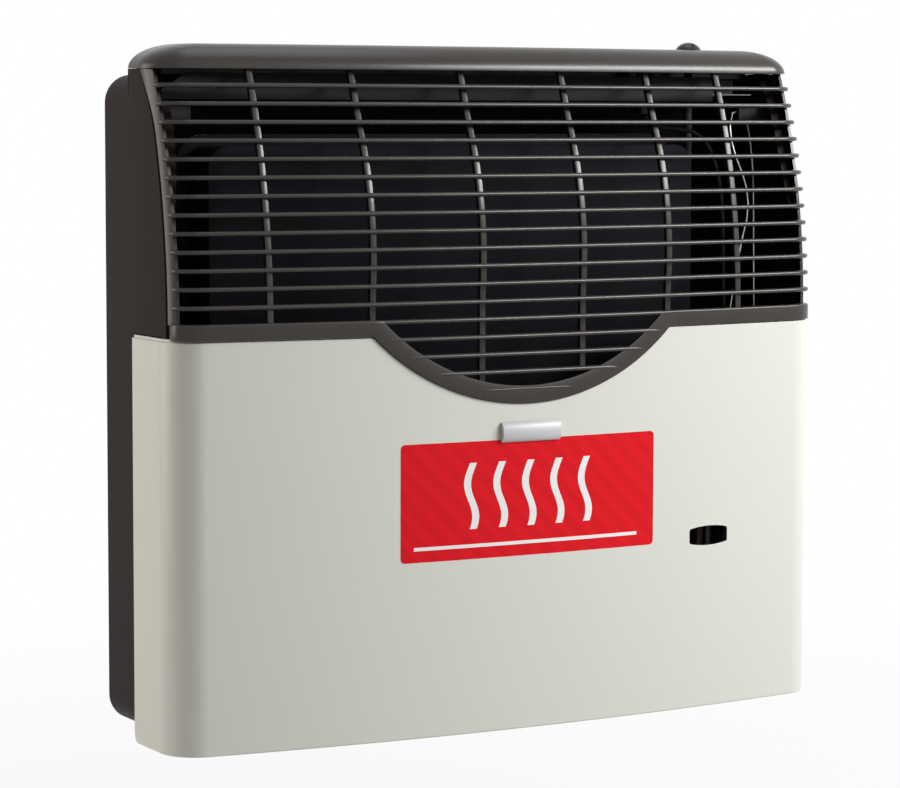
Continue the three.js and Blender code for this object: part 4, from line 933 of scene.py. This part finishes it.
label = {
    "left": -0.129,
    "right": 0.139,
    "bottom": 0.160,
    "top": 0.2665,
    "corner": 0.004,
    "lift": 0.00012,
    "red": (0.74, 0.009, 0.017),
    "dark": (0.58, 0.006, 0.011),
    "white": (0.86, 0.86, 0.85),
    "centre": 0.002,
    "pitch": 0.030,  # from one stroke to the next
    "strokeHalf": 0.0036,
    "strokeReach": 0.030,
    "rowReach": 0.0745,
    "bend": 0.0042,
    "bendRate": 105,  # radians per metre of height
    "ruleRise": 0.012,
    "ruleHalf": 0.0016,
    "ruleReach": 0.118,
    "stripe": 0.024,
    "stripeShare": 0.35,
}


def labelMaterial():
    material = finish("redPrint", label["red"], 0.4, 0.0, 0.12, 900, 0.02, 0.04, 0.000005)
    nodes, links = material.node_tree.nodes, material.node_tree.links
    shader = nodes["Principled BSDF"]
    group = next(n for n in nodes if n.type == "GROUP")
    place = nodes.new("ShaderNodeTexCoord")
    split = nodes.new("ShaderNodeSeparateXYZ")
    links.new(place.outputs["Object"], split.inputs[0])

    def reckon(kind, *values):
        return mathNode(nodes, links, kind, *values)

    def within(value, reach):
        return reckon("LESS_THAN", reckon("ABSOLUTE", value), reach)

    x, z = split.outputs["X"], split.outputs["Z"]
    middle = low + (label["bottom"] + label["top"]) / 2
    pitch = label["pitch"]

    # strokes: x bends with height, then repeats every pitch
    wave = reckon("SINE", reckon("MULTIPLY", reckon("SUBTRACT", z, middle), label["bendRate"]))
    bent = reckon("ADD", x, reckon("MULTIPLY", wave, label["bend"]))
    cell = reckon("SUBTRACT", reckon("MODULO", reckon("ADD", bent, 10 * pitch + 0.013), pitch), pitch / 2)
    tall = within(reckon("SUBTRACT", z, middle + 0.004), label["strokeReach"])
    wide = within(reckon("SUBTRACT", bent, label["centre"]), label["rowReach"])
    strokes = reckon("MULTIPLY", reckon("MULTIPLY", within(cell, label["strokeHalf"]), tall), wide)
    ruleHeight = within(reckon("SUBTRACT", z, low + label["bottom"] + label["ruleRise"]), label["ruleHalf"])
    ruleWidth = within(reckon("SUBTRACT", x, label["centre"]), label["ruleReach"])
    white = reckon("MAXIMUM", strokes, reckon("MULTIPLY", ruleHeight, ruleWidth))
    slanted = reckon("MODULO", reckon("ADD", reckon("ADD", x, z), 3.0), label["stripe"])
    band = reckon("MULTIPLY", reckon("LESS_THAN", slanted, label["stripe"] / 2), label["stripeShare"])

    field = mixNode(nodes, links, band, group.outputs["Colour"], label["dark"])
    links.new(mixNode(nodes, links, white, field, label["white"]), shader.inputs["Base Color"])
    return material


def printedLabel():
    radius = bowRadius + label["lift"] + 0.0001
    a0, a1 = math.asin(label["left"] / bowRadius), math.asin(label["right"] / bowRadius)
    y = bowCentre.y - radius
    obj = startLine("printedLabel", [(0, y, low + label["bottom"]), (0, y, low + label["top"])])
    bpy.ops.mesh.select_all(action="SELECT")
    turn(a1, bowCentre, 20)
    pick(obj, "VERT", lambda co: abs(co.x) < 1e-6)
    turn(a0, bowCentre, 20)
    bpy.ops.mesh.select_all(action="SELECT")
    bpy.ops.mesh.remove_doubles(threshold=1e-6)
    shape = bmesh.from_edit_mesh(obj.data)
    left, right = min(v.co.x for v in shape.verts), max(v.co.x for v in shape.verts)
    pick(obj, "VERT", lambda co: min(abs(co.x - left), abs(co.x - right)) < 1e-6)
    bpy.ops.mesh.bevel(offset=label["corner"], segments=5, affect="VERTICES")
    clear()
    outwards(obj)
    modify(obj, "SOLIDIFY", thickness=label["lift"], offset=-1)
    outwards(obj)
    return smoothed(obj, 30)


labelPiece = printedLabel()
labelPiece.data.materials.append(labelMaterial())
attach(labelPiece, "heater")
print("label")

# ---- knob, its well and the igniter button

knob = {"radius": 0.013, "rise": 0.011, "markDepth": 0.0035, "markInner": 0.006, "markHalf": 0.0008}
well = {"inner": 0.0155, "outer": 0.0167, "throat": 0.006, "wall": 0.0012}
button = {"head": 0.0074, "headHeight": 0.008, "stem": 0.005, "dish": 0.003, "dishDepth": 0.0005}


def controlKnob():
    bottom, top = knobBox[0].z, knobBox[1].z
    r, rise = knob["radius"], knob["rise"]
    profile = [(0.0, bottom), (r - 0.001, bottom), (r, bottom + 0.001)]
    for i in range(14):
        t = math.pi / 2 * i / 14
        profile.append((r * math.cos(t), top - rise + rise * math.sin(t)))
    profile.append((0.0, top))
    obj = lathed("controlKnob", profile, knobX, knobY, 64)
    mark = boxBetween((knobX - knob["markHalf"], knobY - r, top - knob["markDepth"]),
                      (knobX + knob["markHalf"], knobY - knob["markInner"], top + 0.001))
    carve(obj, mark)
    return smoothed(obj, 40)


def controlWell():
    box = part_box("control_bezel")
    top, floor = box[1].z, box[0].z
    inner, outer, throat, wall = well["inner"], well["outer"], well["throat"], well["wall"]
    flange = (box[1].x - box[0].x) / 2
    profile = filleted([
        (throat, floor, 0), (outer, floor, 0.0008), (outer, top - wall, 0.0003), (flange, top - wall, 0),
        (flange, top, 0.0003), (inner, top, 0.0004), (inner, floor + wall, 0.0006),
        (throat, floor + wall, 0), (throat, floor, 0)], 3)
    obj = lathed("controlWell", profile, knobX, knobY, 64)
    return smoothed(obj, 40)


def igniterButton():
    bottom, top = buttonBox[0].z, buttonBox[1].z
    stem, head = button["stem"], button["head"]
    neck, dished = top - button["headHeight"], top - button["dishDepth"]
    profile = filleted([
        (0, bottom, 0), (stem, bottom, 0.0004), (stem, neck, 0), (head, neck, 0.0003), (head, top, 0.0009),
        (button["dish"] + 0.0015, top, 0.0006), (button["dish"], dished, 0.0004), (0, dished, 0)], 4)
    obj = lathed("igniterButton", profile, buttonX, buttonY, 48)
    return smoothed(obj, 40)


dress(controlKnob(), "black_plastic", "knob", "control_knob")
dress(controlWell(), "black_plastic", "heater", "control_bezel")
dress(igniterButton(), "black_plastic", "button", "igniter_button")
print("controls")

# ---- the remaining solids, merged, with softened edges

replaced = {"front_cover", "grille", "top_cap", "rear_casing", "side_panel_left", "side_panel_right",
            "badge_plate", "control_knob", "control_bezel", "igniter_button"}
roundRuns = {"ignition_cable", "capillary_tube", "thermocouple_lead", "pilot_pipe", "manifold_pipe"}
softWidth = 0.0003


def softenedCopy(name, node, width):
    activate(node)
    bpy.ops.object.duplicate(linked=False)
    obj = bpy.context.object
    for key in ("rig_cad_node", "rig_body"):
        if key in obj:
            del obj[key]
    obj.parent = None
    obj.name = obj.data.name = name
    editing(obj)
    bpy.ops.mesh.select_all(action="SELECT")
    bpy.ops.mesh.remove_doubles(threshold=1e-6)
    bpy.ops.mesh.dissolve_limited(angle_limit=math.radians(0.5))
    clear()
    if width:
        softened(obj, width, 2, 50, 40)
    else:
        smoothed(obj, 75)
    return obj


wire = finish("bareWire", (0.75, 0.75, 0.76), 0.35, 1.0, 0.5, 600, 0.05, 0.05, 0.000005)
bodyOf = {node: body for body, group in frame["record"]["behaviour"]["bodies"].items() for node in group}
for name, node in list(frame["nodes"].items()):
    if name in replaced:
        continue
    camel = "".join(w.title() if i else w for i, w in enumerate(name.split("_")))
    copy = softenedCopy(camel, node, 0 if name in roundRuns else softWidth)
    piece = dress(copy, slotOf[name], bodyOf[name], name)
    if name == "capillary_tube":
        piece.data.materials[0] = wire
for name, node in frame["nodes"].items():
    node.data.materials.clear()
    node.data.materials.append(materials[slotOf[name]])
print("inner pieces")

# ---- floor, light and camera

stageValues = {
    "floor": -0.45,
    "size": 14,
    "whiteNear": 0.9,  # share of plain white seen under the heater, and beyond the far distance
    "whiteFar": 1.0,
    "near": 0.5,
    "far": 1.6,
    "ambient": 0.11,
    "grey": (0.62, 0.62, 0.62),
}


def rays(nodes, links):
    path = nodes.new("ShaderNodeLightPath").outputs
    seen = mathNode(nodes, links, "MAXIMUM", path["Is Camera Ray"], path["Is Glossy Ray"])
    return mathNode(nodes, links, "MAXIMUM", seen, path["Is Transmission Ray"])


def paleFloor():
    clear()
    bpy.ops.mesh.primitive_plane_add(size=stageValues["size"], location=(0, 0, stageValues["floor"]))
    obj = settle(bpy.context.object)
    obj.name = "floor"
    material = bpy.data.materials.new("paleFloor")
    material.use_nodes = True
    nodes, links = material.node_tree.nodes, material.node_tree.links
    shader = nodes["Principled BSDF"]
    shader.inputs["Base Color"].default_value = (*stageValues["grey"], 1)
    shader.inputs["Roughness"].default_value = 0.9
    glow = nodes.new("ShaderNodeEmission")
    mix = nodes.new("ShaderNodeMixShader")
    place, away = nodes.new("ShaderNodeTexCoord"), nodes.new("ShaderNodeVectorMath")
    away.operation = "LENGTH"
    links.new(place.outputs["Object"], away.inputs[0])
    fade = nodes.new("ShaderNodeMapRange")
    links.new(away.outputs["Value"], fade.inputs["Value"])
    for key, value in (("From Min", "near"), ("From Max", "far"),
                       ("To Min", "whiteNear"), ("To Max", "whiteFar")):
        fade.inputs[key].default_value = stageValues[value]
    links.new(mathNode(nodes, links, "MULTIPLY", rays(nodes, links), fade.outputs[0]), mix.inputs[0])
    links.new(shader.outputs[0], mix.inputs[1])
    links.new(glow.outputs[0], mix.inputs[2])
    links.new(mix.outputs[0], nodes["Material Output"].inputs["Surface"])
    obj.data.materials.append(material)


def whiteWorld():
    world = bpy.data.worlds.new("studio")
    bpy.context.scene.world = world
    world.use_nodes = True
    nodes, links = world.node_tree.nodes, world.node_tree.links
    background = nodes["Background"]
    background.inputs["Color"].default_value = (1, 1, 1, 1)
    strength = nodes.new("ShaderNodeMapRange")
    links.new(rays(nodes, links), strength.inputs["Value"])
    strength.inputs["To Min"].default_value = stageValues["ambient"]
    strength.inputs["To Max"].default_value = 1.0
    links.new(strength.outputs[0], background.inputs["Strength"])


lamps = [  # name, place, aimed at, width, height, watts, colour
    ("rightBox", (1.33, -1.35, 0.95), (0.0, -0.15, 0.3), 1.5, 0.4, 48, (1, 1, 1)),
    ("leftBox", (-1.65, 0.55, 0.4), (-0.34, -0.08, 0.0), 0.9, 1.3, 14, (1, 0.95, 0.86)),
    ("topBox", (0.3, -0.1, 2.0), (0, -0.1, 0.1), 1.4, 0.8, 5, (1, 1, 1)),
]


def lights():
    for name, place, aim, width, height, watts, colour in lamps:
        data = bpy.data.lights.new(name, "AREA")
        data.shape = "RECTANGLE"
        data.size, data.size_y, data.energy, data.color = width, height, watts, colour
        lamp = bpy.data.objects.new(name, data)
        bpy.context.scene.collection.objects.link(lamp)
        lamp.location = place
        lamp.rotation_euler = (Vector(aim) - Vector(place)).to_track_quat("-Z", "Y").to_euler()


view = {
    "place": (-1.4268, -2.5734, 0.2625),  # in front of the heater and to its left
    "yaw": math.radians(29.36),
    "pitch": math.radians(5.26),
    "roll": math.radians(0.15),
    "lens": 123.37,
}


def camera():
    data = bpy.data.cameras.new("camera")
    data.lens, data.sensor_width, data.sensor_fit = view["lens"], 36, "HORIZONTAL"
    obj = bpy.data.objects.new("camera", data)
    bpy.context.scene.collection.objects.link(obj)
    yaw, pitch, roll = view["yaw"], view["pitch"], view["roll"]
    forward = Vector((math.sin(yaw) * math.cos(pitch), math.cos(yaw) * math.cos(pitch), -math.sin(pitch)))
    right = Vector((math.cos(yaw), -math.sin(yaw), 0))
    up = right.cross(forward)
    across = right * math.cos(roll) + up * math.sin(roll)
    upward = up * math.cos(roll) - right * math.sin(roll)
    turned = Matrix((across, upward, -forward)).transposed().to_4x4()
    obj.matrix_world = Matrix.Translation(view["place"]) @ turned
    bpy.context.scene.camera = obj


paleFloor()
whiteWorld()
lights()
camera()
bpy.context.scene.view_settings.view_transform = "Standard"
print("studio")
